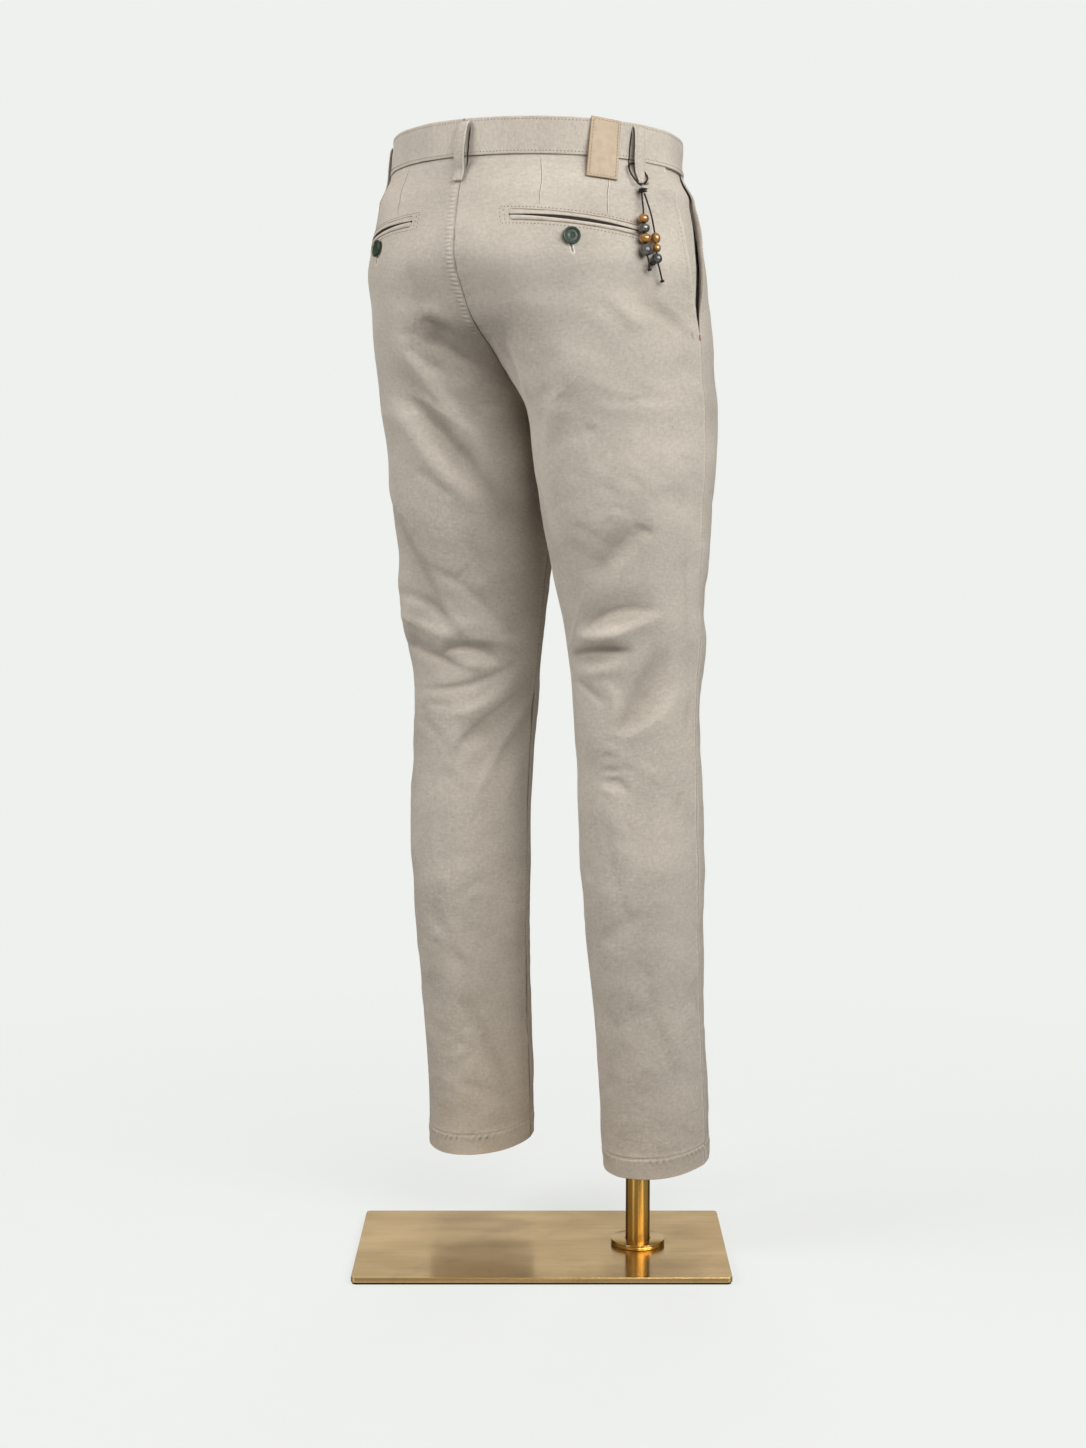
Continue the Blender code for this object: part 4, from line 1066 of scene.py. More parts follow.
@dataclass
class Trousers:
    """The panels, hems and waistband, cut close enough for seams to be drawn in them."""

    cloth: Cloth
    finishes: Finishes
    cell: float = 0.0026
    rolls: tuple[tuple[str, float, float], ...] = (
        ("side", 0.0008, 0.9),
        ("mid", 0.0006, 0.7),
        ("waist", 0.0008, 0.9),
        ("hem", 0.0011, 0.95),
    )
    ply: float = 0.0009
    edge_steps: tuple[float, ...] = (0.0, 0.4, 0.9, 1.6, 2.6, 4.0, 6.0)
    stitch_z: float = 0.0985

    def distance(self, leg: Leg, face: Face, turn: Array, z: Array) -> dict:
        """How far points of a panel lie from its seams, in metres.

        Args:
            leg: the side.
            face: the panel, front or back.
            turn: turns in radians.
            z: heights in metres.

        Returns:
            Distances by the name of the seam.
        """
        radius = FORM.radius(leg, turn, z)
        outer = FORM.side_turn(z) if face is Face.BACK else FORM.mouth_turn(z)
        return {
            "side": np.abs(turn - outer) * radius,
            "mid": np.abs(turn - FORM.mid_turn(leg, z, face)) * radius,
            "waist": FORM.seam_z - z,
            "hem": z - FORM.hem_z,
        }

    def relief(self, leg: Leg, face: Face, turn: Array, z: Array) -> Array:
        """How the sewing lifts and sinks the cloth near its edges, in metres.

        Args:
            leg: the side.
            face: the panel, front or back.
            turn: turns in radians.
            z: heights in metres.

        Returns:
            Heights above the smooth cloth.
        """
        far, line = self.distance(leg, face, turn, z), self.stitch_z
        seed = 3 if leg is Leg.LEFT else 5
        pull = Noise(seed).at(10 + z / 0.0072, 12 + turn * 0.0)
        pull = pull + 0.6 * Noise(seed + 40).at(10 + z / 0.019, 12 + turn * 0.0)
        swell = 0.50 if face is Face.BACK else 0.12
        allowance = smooth((0.0105 - far["side"]) / 0.003)
        off = swell * allowance * (far["side"] > 0) * smooth((z - 0.02) / 0.05)
        seat = smooth((z - 0.84) / 0.03)
        seat_swell = (0.80 if leg is Leg.LEFT else 0.15) * seat + 0.25 * (1 - seat)
        off = off + seat_swell * smooth((0.0095 - far["mid"]) / 0.003)
        off += 0.42 * pull * bell(far["mid"], 0.0085) * (0.35 + 0.65 * seat)
        off += 0.22 * pull * bell(far["side"], 0.006)
        if face is Face.FRONT:
            mouth = smooth((z - 0.905) / 0.03) * smooth((1.030 - z) / 0.03)
            wave = 1.0 + 0.55 * Noise(seed + 9).at(3 + z / 0.026, 4 + turn * 0.0)
            off += 2.2 * mouth * wave * bell(far["side"], 0.013)
        gather = self.gather(leg, turn, z)
        off += 0.55 * smooth((line - z) / 0.0025)
        off += 0.80 * gather * bell(line - 0.0045 - z, 0.0045)
        off -= 0.55 * bell(z - line, 0.0011)
        off += 0.35 * bell(z - line - 0.0024, 0.0016)
        off += 0.30 * gather * bell(z - line - 0.004, 0.006)
        folded = Noise(seed + 70).at(9 + turn * FORM.hem_arc / 0.018, 3 + z / 0.0034)
        off += 0.16 * folded * smooth((line - 0.004 - z) / 0.002)
        ripple = Noise(seed + 80).at(11 + turn * FORM.hem_arc / 0.010, 3 + z / 0.05)
        off = MM * (off + 0.30 * ripple * bell(far["waist"] - 0.004, 0.006))
        for name, roll, share in self.rolls:
            off -= self.rolled(far[name], roll) * share
        return off

    @staticmethod
    def rolled(far: Array, size: float) -> Array:
        """How far a rounded edge of that size has dropped, at a distance from it."""
        return size * (1 - np.sqrt(1 - np.clip(1 - far / size, 0.0, 1.0) ** 2))

    @staticmethod
    def gather(leg: Leg, turn: Array, z: Array) -> Array:
        """The slanted puckers that a hem's stitches pull up, from -1 to 1.

        Args:
            leg: the side.
            turn: turns in radians.
            z: heights in metres.

        Returns:
            Values from -1 to 1.
        """
        seed = 63 if leg is Leg.LEFT else 65
        drift = Noise(seed).at(20 + turn * 1.9, 8 + z / 0.05)
        strength = 0.55 + 0.45 * Noise(seed + 7).at(9 + turn * 3.1, 4 + z / 0.05)
        return strength * np.sin((turn * 0.055 - 0.5 * z) / 0.0062 * 2 * pi + 3.0 * drift)

    def tones(self, leg: Leg, face: Face, turn: Array, z: Array) -> dict:
        """The numbers that the twill reads: groove for painted shade in seams and creases, worn for
        pale worn edges and painted highlights.

        Args:
            leg: the side.
            face: the panel, front or back.
            turn: turns in radians.
            z: heights in metres.

        Returns:
            Numbers from 0 to 1 by name.
        """
        far, line = self.distance(leg, face, turn, z), self.stitch_z
        left, low, below = leg is Leg.LEFT, z < 0.6, z < FORM.fork_z
        fold = FORM.folds(leg, turn, z, self.cloth.creases)
        tight = np.where(below, 1.0 if left else 0.6, 0.32)
        # groove: painted shade along the seam lines, under the hem's puckers and in the crease
        # troughs, and darker towards the hems
        groove = bell(far["side"], 0.0009) * np.where(low, 0.75, 0.45)
        groove += bell(far["mid"], 0.0007) * tight * 0.8 + bell(far["waist"], 0.0008) * 0.8
        under = bell(line - 0.0034 - z, 0.0026)
        groove += 0.60 * under * smooth(-self.gather(leg, turn, z) * 1.3)
        groove += 0.16 * smooth((0.19 - z) / 0.10) + 0.24 * np.clip(-fold / 0.0035, 0, 1)
        proud = np.where(low, 0.8, 0.35) if face is Face.FRONT else 1.0
        # worn: pale worn edges beside the seams and at the hem, and painted highlights on the
        # crease ridges
        worn = np.where(low, 1.0, 0.75) * proud * bell(far["side"] - 0.0028, 0.0013)
        seat = np.where(below, 0.6, 1.0)
        worn += (0.50 if left else 0.10) * seat * bell(far["mid"] - 0.0040, 0.0022)
        worn += 0.9 * bell(z - line - 0.0016, 0.0013) + 0.6 * bell(far["hem"], 0.0016)
        worn += 0.35 * bell(far["waist"] - 0.0035, 0.0015) + 0.36 * np.clip(fold / 0.0025, 0, 1)
        pull = (1.6 if left else 0.32) * seat * bell(far["mid"] - 0.0050, 0.0030)
        pull += 0.6 * bell(far["side"] - 0.0042, 0.0026)
        made = {"groove": (groove, 1), "worn": (worn, 1), "pull": (pull, 2)}
        return {name: np.clip(value, 0, most) for name, (value, most) in made.items()}

    def rows(self) -> Array:
        """Heights of a panel's rows, close together at the hem, its stitching and the waist."""
        low = FORM.hem_z + MM * np.array([0.0, 0.3, 0.7, 1.3, 2.2, 3.6, 5.4])
        stitch = self.stitch_z + MM * np.array([-13, -10, -7.6, -6, -4.6, -3.4, -2.4, -1.5, -0.8])
        after = self.stitch_z + MM * np.array([-0.3, 0.2, 0.8, 1.5, 2.4, 3.4, 4.8, 6.6, 8.8])
        top = FORM.seam_z - FORM.gap / 2 - MM * np.array([6.0, 4.2, 2.8, 1.8, 1.1, 0.6, 0.25, 0.0])
        start, end = after[-1] + 0.0025, top[0] - 0.0025
        body = np.linspace(start, end, int((end - start) / self.cell) + 1)
        return np.concatenate([low, stitch, after, body, top])

    def turns(self, leg: Leg, face: Face, z: Array, middle: int) -> Array:
        """Turns of a panel's columns, evenly spaced in arc and close together at its edges.

        Args:
            leg: the side.
            face: the panel, front or back.
            z: heights of the rows, in metres.
            middle: how many columns lie between the close ones.

        Returns:
            Turns in radians, a row for each height.
        """
        share = np.linspace(0.0, 1.0, 161)
        outer = FORM.side_turn(z) if face is Face.BACK else FORM.mouth_turn(z)
        half, middle_turn = FORM.gap / 2 / FORM.radius(leg, outer, z), FORM.mid_turn(leg, z, face)
        back = face is Face.BACK
        start, end = (outer + half, middle_turn) if back else (middle_turn, outer - half)
        fine = Maker.spread(start, end, share)
        run = Maker.arc(FORM.point(leg, fine, z[:, None] * np.ones_like(fine)))
        steps = np.array(self.edge_steps) * MM
        made = []
        for row in range(len(z)):
            length = run[row, -1]
            inner = np.linspace(steps[-1], length - steps[-1], middle)[1:-1]
            at = np.concatenate([steps, inner, length - steps[::-1]])
            made.append(np.interp(at, run[row], fine[row]))
        return np.array(made)

    def faces(
        self, leg: Leg, turn: Array, z: Array, outer: Array, inner: Array
    ) -> tuple[Array, Array, Array]:
        """A wall's outer and inner points, and the length run along each of its rows."""
        points = self.cloth.point(leg, turn, z, outer)
        return points, self.cloth.point(leg, turn, z, inner), Maker.arc(points)

    def wall(
        self, name: str, leg: Leg, walls: tuple, uv: tuple[Array, Array], values: dict, node: str
    ) -> Obj:
        """A piece of twill between two grids of points, in place of a CAD node.

        Args:
            name: the piece's name.
            leg: the side.
            walls: the outer and the inner grid of points.
            uv: the weave's places across and along, in metres.
            values: numbers for the twill, by name.
            node: the CAD node that it replaces.

        Returns:
            The piece.
        """
        name, flip = f"{name}_{leg.value}_cloth", leg is Leg.RIGHT
        wall = Maker.shell(name, *walls, flip, np.stack(uv, -1), values)
        return Maker.finish(wall, self.finishes.twill, Slot.TWILL, (f"{node}_{leg.value}",))

    def panel(self, leg: Leg, face: Face) -> Obj:
        """One panel: both faces of its cloth, with its seams' relief.

        Args:
            leg: the side.
            face: the panel, front or back.

        Returns:
            The piece.
        """
        z = self.rows()
        turn = self.turns(leg, face, z, 84 if face is Face.BACK else 72)
        height = z[:, None] * np.ones_like(turn)
        off = self.relief(leg, face, turn, height)
        lining = np.minimum(off, 0.0) * 0.15 - FORM.cloth
        *walls, arc = self.faces(leg, turn, height, off, lining)
        arc = arc - arc[:, [turn.shape[1] // 2]]
        values = self.tones(leg, face, turn, height)
        panel = self.wall(face.value, leg, walls, (arc, height), values, f"{face.value}_panel")
        self.declare(panel, arc, z)
        return panel

    @staticmethod
    def declare(sheet: Obj, arc: Array, z: Array) -> None:
        """Does nothing: the sheet is not declared.

        Args:
            sheet: the piece; not used.
            arc: distance along each row, in metres; not used.
            z: heights of the rows, in metres; not used.
        """

    def waistband(self, leg: Leg) -> Obj:
        """Half of the waistband: two layers with a rolled top edge."""
        low, high = FORM.seam_z + FORM.gap / 2, FORM.top_z
        foot = MM * np.array([0, 0.3, 0.7, 1.2, 1.9, 2.9])
        head = np.array([2.9, 1.9, 1.2, 0.7, 0.3, 0.05])
        body = np.linspace(low + 0.0045, high - 0.0045, 12)
        z = np.concatenate([low + foot, body, high - MM * head])
        start, end = FORM.mid_turn(leg, z, Face.FRONT), FORM.mid_turn(leg, z, Face.BACK)
        turn = Maker.spread(start, end, np.linspace(0, 1, 210))
        height = z[:, None] * np.ones_like(turn)
        inside = FORM.band_proud - FORM.band + 0.75 * self.rolled(high - height, 0.0012)
        *walls, arc = self.faces(leg, turn, height, self.band_relief(leg, turn, height), inside)
        mid = np.minimum(turn - start[:, None], end[:, None] - turn)
        mid = mid * FORM.radius(leg, turn, height)
        # painted shade in the waist seam and the back seam, and pale rolled edges, partly wear and
        # partly painted highlight
        groove = 0.5 * bell(height - low, 0.0006) + 0.9 * bell(mid, 0.0008)
        worn = 0.5 * bell(height - low - 0.0014, 0.0010) + 0.15 * bell(high - height, 0.0013)
        values = {"groove": groove, "worn": worn}
        band = self.wall("waistband", leg, walls, (height, arc), values, "waistband")
        return band

    def band_relief(self, leg: Leg, turn: Array, z: Array) -> Array:
        """How far the waistband's face stands off the form.

        Args:
            leg: the side.
            turn: turns in radians.
            z: heights in metres.

        Returns:
            Heights in metres.
        """
        low, high = FORM.seam_z + FORM.gap / 2, FORM.top_z
        left = leg is Leg.LEFT
        ripple = Noise(91 if left else 92).at(5 + turn * FORM.waist_arc / 0.024, 3 + z / 0.017)
        small = Noise(93 if left else 94).at(7 + turn * FORM.waist_arc / 0.0085, 5 + z / 0.012)
        off = FORM.band_proud + MM * (0.60 * ripple + 0.22 * small)
        off += MM * (0.35 * bell(z - low - 0.0026, 0.0018) - 0.30 * bell(high - 0.0030 - z, 0.0009))
        if left:
            off += MM * 0.5 * bell(np.degrees(turn) - 84.0, 0.8)
        return off - self.rolled(z - low, 0.0009) - self.rolled(high - z, 0.0012)

    def hem(self, leg: Leg) -> Obj:
        """The turned-up allowance inside a leg's lower edge."""
        z = FORM.hem_z + np.array([0.0003, 0.002, 0.006, 0.011, 0.016, 0.0195, 0.0215])
        side, mid = FORM.side_turn(z), FORM.mid_turn(leg, z, Face.FRONT) + 0.004
        back = np.linspace(side, FORM.mid_turn(leg, z, Face.BACK) - 0.004, 66, axis=1)
        turn = np.concatenate([back, np.linspace(mid, side - 0.01, 66, axis=1)], 1)
        height = z[:, None] * np.ones_like(turn)
        depth = FORM.cloth + FORM.gap + 0.0003
        *walls, arc = self.faces(leg, turn, height, -depth, -depth - self.ply)
        # pale along the folded lower edge, partly wear and partly painted highlight
        values = {"groove": np.zeros(turn.shape), "worn": 0.5 * bell(height - z[0], 0.002)}
        hem = self.wall("hem", leg, walls, (arc, height), values, "hem_turn_up")
        return hem

    def mouth_depth(self, turn: Array, z: Array) -> Array:
        """How far a pocket facing lies under the cloth's face, most behind the mouth's lip.

        Args:
            turn: turns in radians.
            z: heights in metres.

        Returns:
            Depths in metres.
        """
        flush = FORM.cloth + 0.0011
        ends = smooth((z - FORM.mouth_z) / 0.03) * smooth((FORM.seam_z - 0.002 - z) / 0.022)
        behind = smooth((FORM.mouth_turn(z) + radians(2.4) - turn) / radians(2.0))
        return flush + (FORM.gape - flush) * behind * ends

    def facing(self, leg: Leg) -> Obj:
        """The pocket facing that shows inside the slanted mouth."""
        z = np.linspace(0.8675, FORM.seam_z + 0.0040, 66)
        start = FORM.mouth_turn(z) - radians(14.0)
        end = FORM.side_turn(z) + radians(4.0)
        turn = Maker.spread(start, end, np.linspace(0, 1, 40))
        height = z[:, None] * np.ones_like(turn)
        lip = FORM.mouth_turn(height)
        depth = self.mouth_depth(turn, height)
        *walls, arc = self.faces(leg, turn, height, -depth, -depth - self.ply)
        # painted shadow behind the mouth's front lip, and painted shade in the side seam line
        seam = bell((turn - FORM.side_turn(height)) * FORM.mouth_arc, 0.0012)
        groove = np.clip(0.6 * smooth((lip + 0.030 - turn) / 0.02) + 0.4 * seam, 0, 1)
        values = {"groove": groove, "worn": np.zeros(turn.shape)}
        where = (turn * FORM.mouth_arc, height)
        facing = self.wall("facing", leg, walls, where, values, "pocket_facing")
        return facing

    def build(self) -> None:
        """Makes the panels, the waistband, the turn-ups and the pocket facings."""
        for leg in Leg:
            for face in Face:
                self.panel(leg, face)
            self.waistband(leg)
            self.hem(leg)
            self.facing(leg)


@dataclass(frozen=True)
class Run:
    """A line sewn on the cloth: its corners by turn in degrees and height in mm."""

    leg: Leg
    corners: Sequence[Pair]
    off: float = 0.15


class Needle:
    """Sews lines of stitches, each stitch a small capsule with its ends sunk."""

    def __init__(self, trousers: Trousers) -> None:
        """Keeps the cloth that is sewn on."""
        self.trousers = trousers
        self.cloth = trousers.cloth

    def line(self, run: Run, steps: int = 40) -> tuple[Array, Array]:
        """Close points along a run on the cloth's face, and the outward direction at each.

        Args:
            run: the line that is sewn.
            steps: how many spans lie between two of its corners.

        Returns:
            The points and the directions.
        """
        corners = np.array(run.corners, float)
        at = np.linspace(0, len(corners) - 1, (len(corners) - 1) * steps + 1)
        turn, z = (np.interp(at, np.arange(len(corners)), column) for column in corners.T)
        turn, z = np.radians(turn), z * MM
        face = Face.BACK if turn.mean() > FORM.side_turn(z).mean() else Face.FRONT
        relief = self.trousers.relief(run.leg, face, turn, z)
        proud = self.trousers.band_relief(run.leg, turn, z)
        off = np.where(z > FORM.seam_z, proud, relief) + run.off * MM
        return self.cloth.point(run.leg, turn, z, off), FORM.normal(run.leg, turn, z)

    @staticmethod
    def capsules(
        lines: list[tuple[Array, Array]], length: float, gap: float, radius: float
    ) -> tuple[Array, list[tuple[int, ...]]]:
        """Capsules laid end to end along lines.

        Args:
            lines: points along each line, in metres, and the outward direction at each.
            length: of one stitch, in metres.
            gap: between two stitches.
            radius: of the thread.

        Returns:
            The points and faces of all of them.
        """
        rng = np.random.default_rng(5)
        angle = np.linspace(0, 2 * pi, 5, endpoint=False)[:, None]
        points = []
        for path, outward in lines:
            run = Maker.arc(path)
            number = max(1, int(run[-1] / (length + gap)))
            starts = (np.arange(number) + 0.5) * run[-1] / number - length / 2
            for start in starts + rng.uniform(-0.06, 0.06, number) * length:
                where = start + np.array([0.0, 0.22, 0.78, 1.0]) * length
                at, up = (
                    np.stack([np.interp(where, run, column) for column in rows.T], -1)
                    for rows in (path, outward)
                )
                up = up / np.linalg.norm(up, axis=1, keepdims=True)
                along = (at[3] - at[0]) / max(np.linalg.norm(at[3] - at[0]), 1e-9)
                for spot, lift, size, sink in zip(at, up, (0.35, 1, 1, 0.35), (0.9, 0, 0, 0.9)):
                    side = np.cross(along, lift)
                    side = side / max(np.linalg.norm(side), 1e-9)
                    ring = np.cos(angle) * side + np.sin(angle) * lift
                    points.append(spot - lift * radius * sink + radius * size * ring)
        around = [(s, (s + 1) % 5) for s in range(5)]
        one = [(a + t, a + s, a + s + 5, a + t + 5) for a in (0, 5, 10) for s, t in around]
        one += [tuple(range(5)), tuple(range(19, 14, -1))]
        firsts = range(0, 5 * len(points), 20)
        faces = [tuple(first + n for n in face) for first in firsts for face in one]
        return np.concatenate(points), faces

    def stitch(
        self, name: str, lines: list, material: Material, sizes: Triple, slot: Slot = Slot.TWILL
    ) -> Obj:
        """One piece with stitches along lines.

        Args:
            name: the piece's name.
            lines: points in metres, with the outward direction at each.
            material: the thread.
            sizes: a stitch's length, the gap after it and its radius, in mm.
            slot: the record's slot for it.

        Returns:
            The piece.
        """
        points, faces = self.capsules(lines, *(size * MM for size in sizes))
        return Maker.finish(Maker.mesh(name, points, faces), material, slot)

    def sew(
        self,
        name: str,
        runs: Sequence[Run],
        material: Material,
        length: float = 2.1,
        gap: float = 0.9,
        radius: float = 0.24,
    ) -> Obj:
        """One piece with all the stitches of some runs.

        Args:
            name: the piece's name.
            runs: where it is sewn.
            material: the thread.
            length: of a stitch, in mm.
            gap: between two stitches, in mm.
            radius: of the thread, in mm.

        Returns:
            The piece.
        """
        return self.stitch(name, [self.line(run) for run in runs], material, (length, gap, radius))

    def satin(
        self, name: str, spots: Sequence[tuple], material: Material, radius: float = 0.26
    ) -> Obj:
        """Blocks of threads laid side by side.

        Args:
            name: the piece's name.
            spots: for each block its leg, turn and height of the middle, width across
                and height in mm, and the slant of its threads in mm.
            material: the thread.
            radius: of one thread, in mm.

        Returns:
            The piece.
        """
        lines = []
        for leg, turn, z, wide, high, slant in spots:
            arc = float(FORM.radius(leg, radians(turn), z * MM))
            half = degrees(wide / 2 * MM / arc)
            for level in np.linspace(-high / 2, high / 2, max(2, int(high / (radius * 1.9)))):
                low, top = z + level - slant / 2, z + level + slant / 2
                lines.append(self.line(Run(leg, ((turn - half, low), (turn + half, top)), 0.35), 6))
        return self.stitch(name, lines, material, (wide, 0.0, radius))

    def cordlet(self, name: str, runs: Sequence[Run], material: Material, radius: float) -> Obj:
        """Fine unbroken ridges along runs, such as a dart's edge. The radius is in mm.

        Args:
            name: the piece's name.
            runs: where the ridges lie.
            material: the thread.
            radius: of a ridge, in mm.

        Returns:
            The piece.
        """
        points, faces = np.zeros((0, 3)), []
        for run in runs:
            path = self.line(run, 30)[0]
            far = np.arange(len(path))
            size = radius * MM * smooth(np.minimum(far, far[::-1]) / 6 + 0.15)
            ring, sides = Maker.tube_points(path, size, 8)
            faces += [tuple(n + len(points) for n in f) for f in sides]
            points = np.concatenate([points, ring])
        return Maker.finish(Maker.mesh(name, points, faces), material, Slot.TWILL)


@dataclass
class Trims:
    """What is sewn on the panels: loops, welts, darts, patch, fly, buttons and stitching."""

    trousers: Trousers
    finishes: Finishes
    loop_cloth: float = 0.0015
    loops: tuple[tuple[str, Leg, float, float, float, float], ...] = (
        ("centre_back", Leg.RIGHT, 90.0, 10.6, 2.2, -2.2),
        ("back_right", Leg.RIGHT, 21.0, 12.3, 2.6, -3.6),
        ("back_left", Leg.LEFT, 21.0, 11.0, 0.4, -0.6),
        ("front_right", Leg.RIGHT, -46.0, 11.0, -0.5, 0.8),
        ("front_left", Leg.LEFT, -46.0, 11.0, 0.7, -0.4),
    )
    loop_profile: tuple[Pair, ...] = (
        (1.0205, 0.0034), (1.0222, 0.0038), (1.0262, 0.0036), (1.0300, 0.0042), (1.0352, 0.0068),
        (1.0420, 0.0084), (1.0540, 0.0086), (1.0640, 0.0076), (1.0710, 0.0058), (1.0742, 0.0026),
    )
    patch_turns: Pair = (39.3, 34.3)
    patch_z: Pair = (1.0226, 1.0774)
    patch_width: float = 0.0285
    patch_tilt: float = 0.0024
    leather: float = 0.0016
    welt_turns: Pair = (72.0, 26.0)
    welt_height: float = 4.6
    button_turn: float = 51.9
    button_z: float = 0.9710
    button_radius: float = 0.00825
    button_depth: float = 0.0032
    fly_width: float = 0.038
    fly_z: float = 0.893
    needle: Needle = field(init=False)

    def __post_init__(self) -> None:
        """Threads the needle for this cloth."""
        self.needle = Needle(self.trousers)
        self.cloth = self.trousers.cloth

    def belt_loop(
        self, name: str, leg: Leg, at: float, width: float, high: float, low: float
    ) -> Obj:
        """A strip with rounded edges that stands off the waistband.

        Args:
            name: which loop it is.
            leg: the side it is on.
            at: its turn in degrees.
            width: its width in mm.
            high: how far its top end was sewn aside, in mm.
            low: how far its lower end was.

        Returns:
            The loop.
        """
        width *= MM
        turn = radians(at)
        lie = 0.45 if name == "back_left" else 1.0
        normal = FORM.normal(leg, np.array(turn), np.array(FORM.waist_mid))
        normal[2] = 0.0
        normal /= np.linalg.norm(normal)
        across = np.cross([0.0, 0.0, 1.0], normal)
        (foot, rest), (head, _) = self.loop_profile[0], self.loop_profile[-1]
        knots = []
        for z, off in self.loop_profile:
            share = (z - foot) / (head - foot)
            middle = self.cloth.point(leg, turn, z, rest + (off - rest) * lie)
            knots.append(Vector(middle + across * MM * (low + (high - low) * share)))
        centre = Maker.spline(knots, 7)
        along = np.gradient(centre, axis=0)
        facing = np.cross(across, along)
        facing /= np.linalg.norm(facing, axis=1, keepdims=True)
        facing *= np.sign((facing * normal).sum(1, keepdims=True) + 1e-9)
        share = np.array([-1, -0.97, -0.9, -0.8, -0.66, -0.4, 0, 0.4, 0.66, 0.8, 0.9, 0.97, 1])
        drop = 0.00065 * np.clip((np.abs(share) - 0.72) / 0.28, 0, 1) ** 2.2
        drop = drop + 0.00018 * bell(np.abs(share) - 0.68, 0.08)
        place = centre[:, None, :] + across * (share * width / 2)[None, :, None]
        outer = place - facing[:, None, :] * drop[None, :, None]
        inner = place - facing[:, None, :] * (self.loop_cloth - drop * 0.4)[None, :, None]
        run = Maker.arc(centre)
        uv = np.stack(np.broadcast_arrays(share * width / 2, run[:, None]), -1)
        # pale rounded edges, partly wear and partly painted highlight
        worn = np.broadcast_to(0.7 * np.clip((np.abs(share) - 0.8) / 0.2, 0, 1), outer.shape[:2])
        values = {"worn": worn, "groove": worn * 0.0}
        loop = Maker.outwards(Maker.shell(f"loop_{name}", outer, inner, False, uv, values))
        Maker.finish(loop, self.finishes.twill, Slot.TWILL, (f"belt_loop_{name}",))
        lines = []
        for side in (-0.66, 0.66):
            lines.append((centre + across * side * width / 2 + facing * 0.00005, facing))
        for end in (2, len(centre) - 3):
            for level in (-0.0006, 0.0, 0.0006):
                line = np.linspace(-0.42, 0.42, 8)[:, None] * across * width
                line = centre[end] + line + [0, 0, level] + facing[end] * 0.00012
                lines.append((line, np.tile(facing[end], (8, 1))))
        name = f"loop_{name}_stitches"
        self.needle.stitch(name, lines, self.finishes.thread, (1.9, 0.9, 0.21))
        return loop

    def strip(
        self,
        name: str,
        leg: Leg,
        turn: Array,
        z: Array,
        off: Array,
        under: Array | float,
        values: dict[str, Array],
    ) -> Obj:
        """A closed strip on the cloth: its face off by off, its back off by under.

        Args:
            name: the piece's name.
            leg: the side.
            turn: turns in radians.
            z: heights in metres.
            off: how far its face lies off the cloth, in metres.
            under: how far its back does.
            values: numbers for the twill, by name.

        Returns:
            The piece, without a material.
        """
        outer = self.cloth.point(leg, turn, z, off)
        inner = self.cloth.point(leg, turn, z, under)
        uv = np.stack([turn * FORM.waist_arc, z], -1)
        return Maker.outwards(Maker.shell(name, outer, inner, False, uv, values))

    def plate(self, u: Array, v: Array, off: Array | float) -> Array:
        """Points of the stiff patch, which spans the dip at the waist seam in a straight line.

        Args:
            u: shares across it, from the side towards the back.
            v: shares up it.
            off: distance off its back, in metres.

        Returns:
            Points in the part's frame.
        """
        u, v, off = np.broadcast_arrays(u, v, off)
        ends = []
        for z, at in zip(self.patch_z, self.patch_turns):
            middle = radians(at)
            width = self.patch_width / float(FORM.radius(Leg.RIGHT, middle, z))
            level = z + self.patch_tilt * (u - 0.5)
            proud = FORM.band_proud + FORM.gap + 0.0004
            ends.append(self.cloth.point(Leg.RIGHT, middle + width * (u - 0.5), level, proud))
        share = v[..., None]
        line = ends[0] * (1 - share) + ends[1] * share
        out = FORM.normal(Leg.RIGHT, np.radians(36.8), np.array(FORM.waist_mid))
        return line + out * off[..., None]

    def patch(self) -> None:
        """The leather patch, bare, with its stitched border."""
        edge = np.array([0, 0.012, 0.03, 0.055])
        share = np.concatenate([edge, np.linspace(0.08, 0.92, 22), 1 - edge[::-1]])
        u, v = share[None, :], share[:, None]
        near = np.minimum(np.minimum(v, 1 - v) * 1.9, np.minimum(u, 1 - u))
        drop = 0.00055 * np.clip(1 - near / 0.035, 0, 1) ** 2
        seat = bell(near - 0.075, 0.020) * 0.00022
        wave = 0.00025 * Noise(33).at(3 + u * 2.2, 5 + v * 3.1)
        outer = self.plate(u, v, self.leather - drop - seat + wave)
        inner = self.plate(u, v, wave)
        uv = np.stack(np.broadcast_arrays(u * self.patch_width, v * 0.055), -1)
        groove = np.clip(1 - near / 0.026, 0, 1) * 0.8
        groove = np.maximum(groove, 0.30 * bell(near - 0.075, 0.016))
        patch = Maker.shell("leather_patch_skin", outer, inner, False, uv, {"groove": groove})
        Maker.outwards(patch)
        Maker.finish(patch, self.finishes.leather, Slot.LEATHER, ("leather_patch",))
        low, side = 0.040, 0.075
        corners = [(side, low), (1 - side, low), (1 - side, 1 - low), (side, 1 - low), (side, low)]
        facing = np.tile(FORM.normal(Leg.RIGHT, 0.64, FORM.waist_mid), (40, 1))
        lines = []
        for (u0, v0), (u1, v1) in zip(corners, corners[1:]):
            u, v = np.linspace(u0, u1, 40), np.linspace(v0, v1, 40)
            lines.append((self.plate(u, v, self.leather - 0.0001), facing))
        thread, sizes = self.finishes.leather_thread, (1.8, 1.3, 0.36)
        self.needle.stitch("patch_stitches", lines, thread, sizes, Slot.LEATHER)

    def slit(self, turn: Array) -> Array:
        """Height of the back pocket's slit at a turn, in metres."""
        share = (self.welt_turns[0] - np.degrees(turn)) / (self.welt_turns[0] - self.welt_turns[1])
        return 0.9898 - 0.0025 * share - 0.0095 * share**2

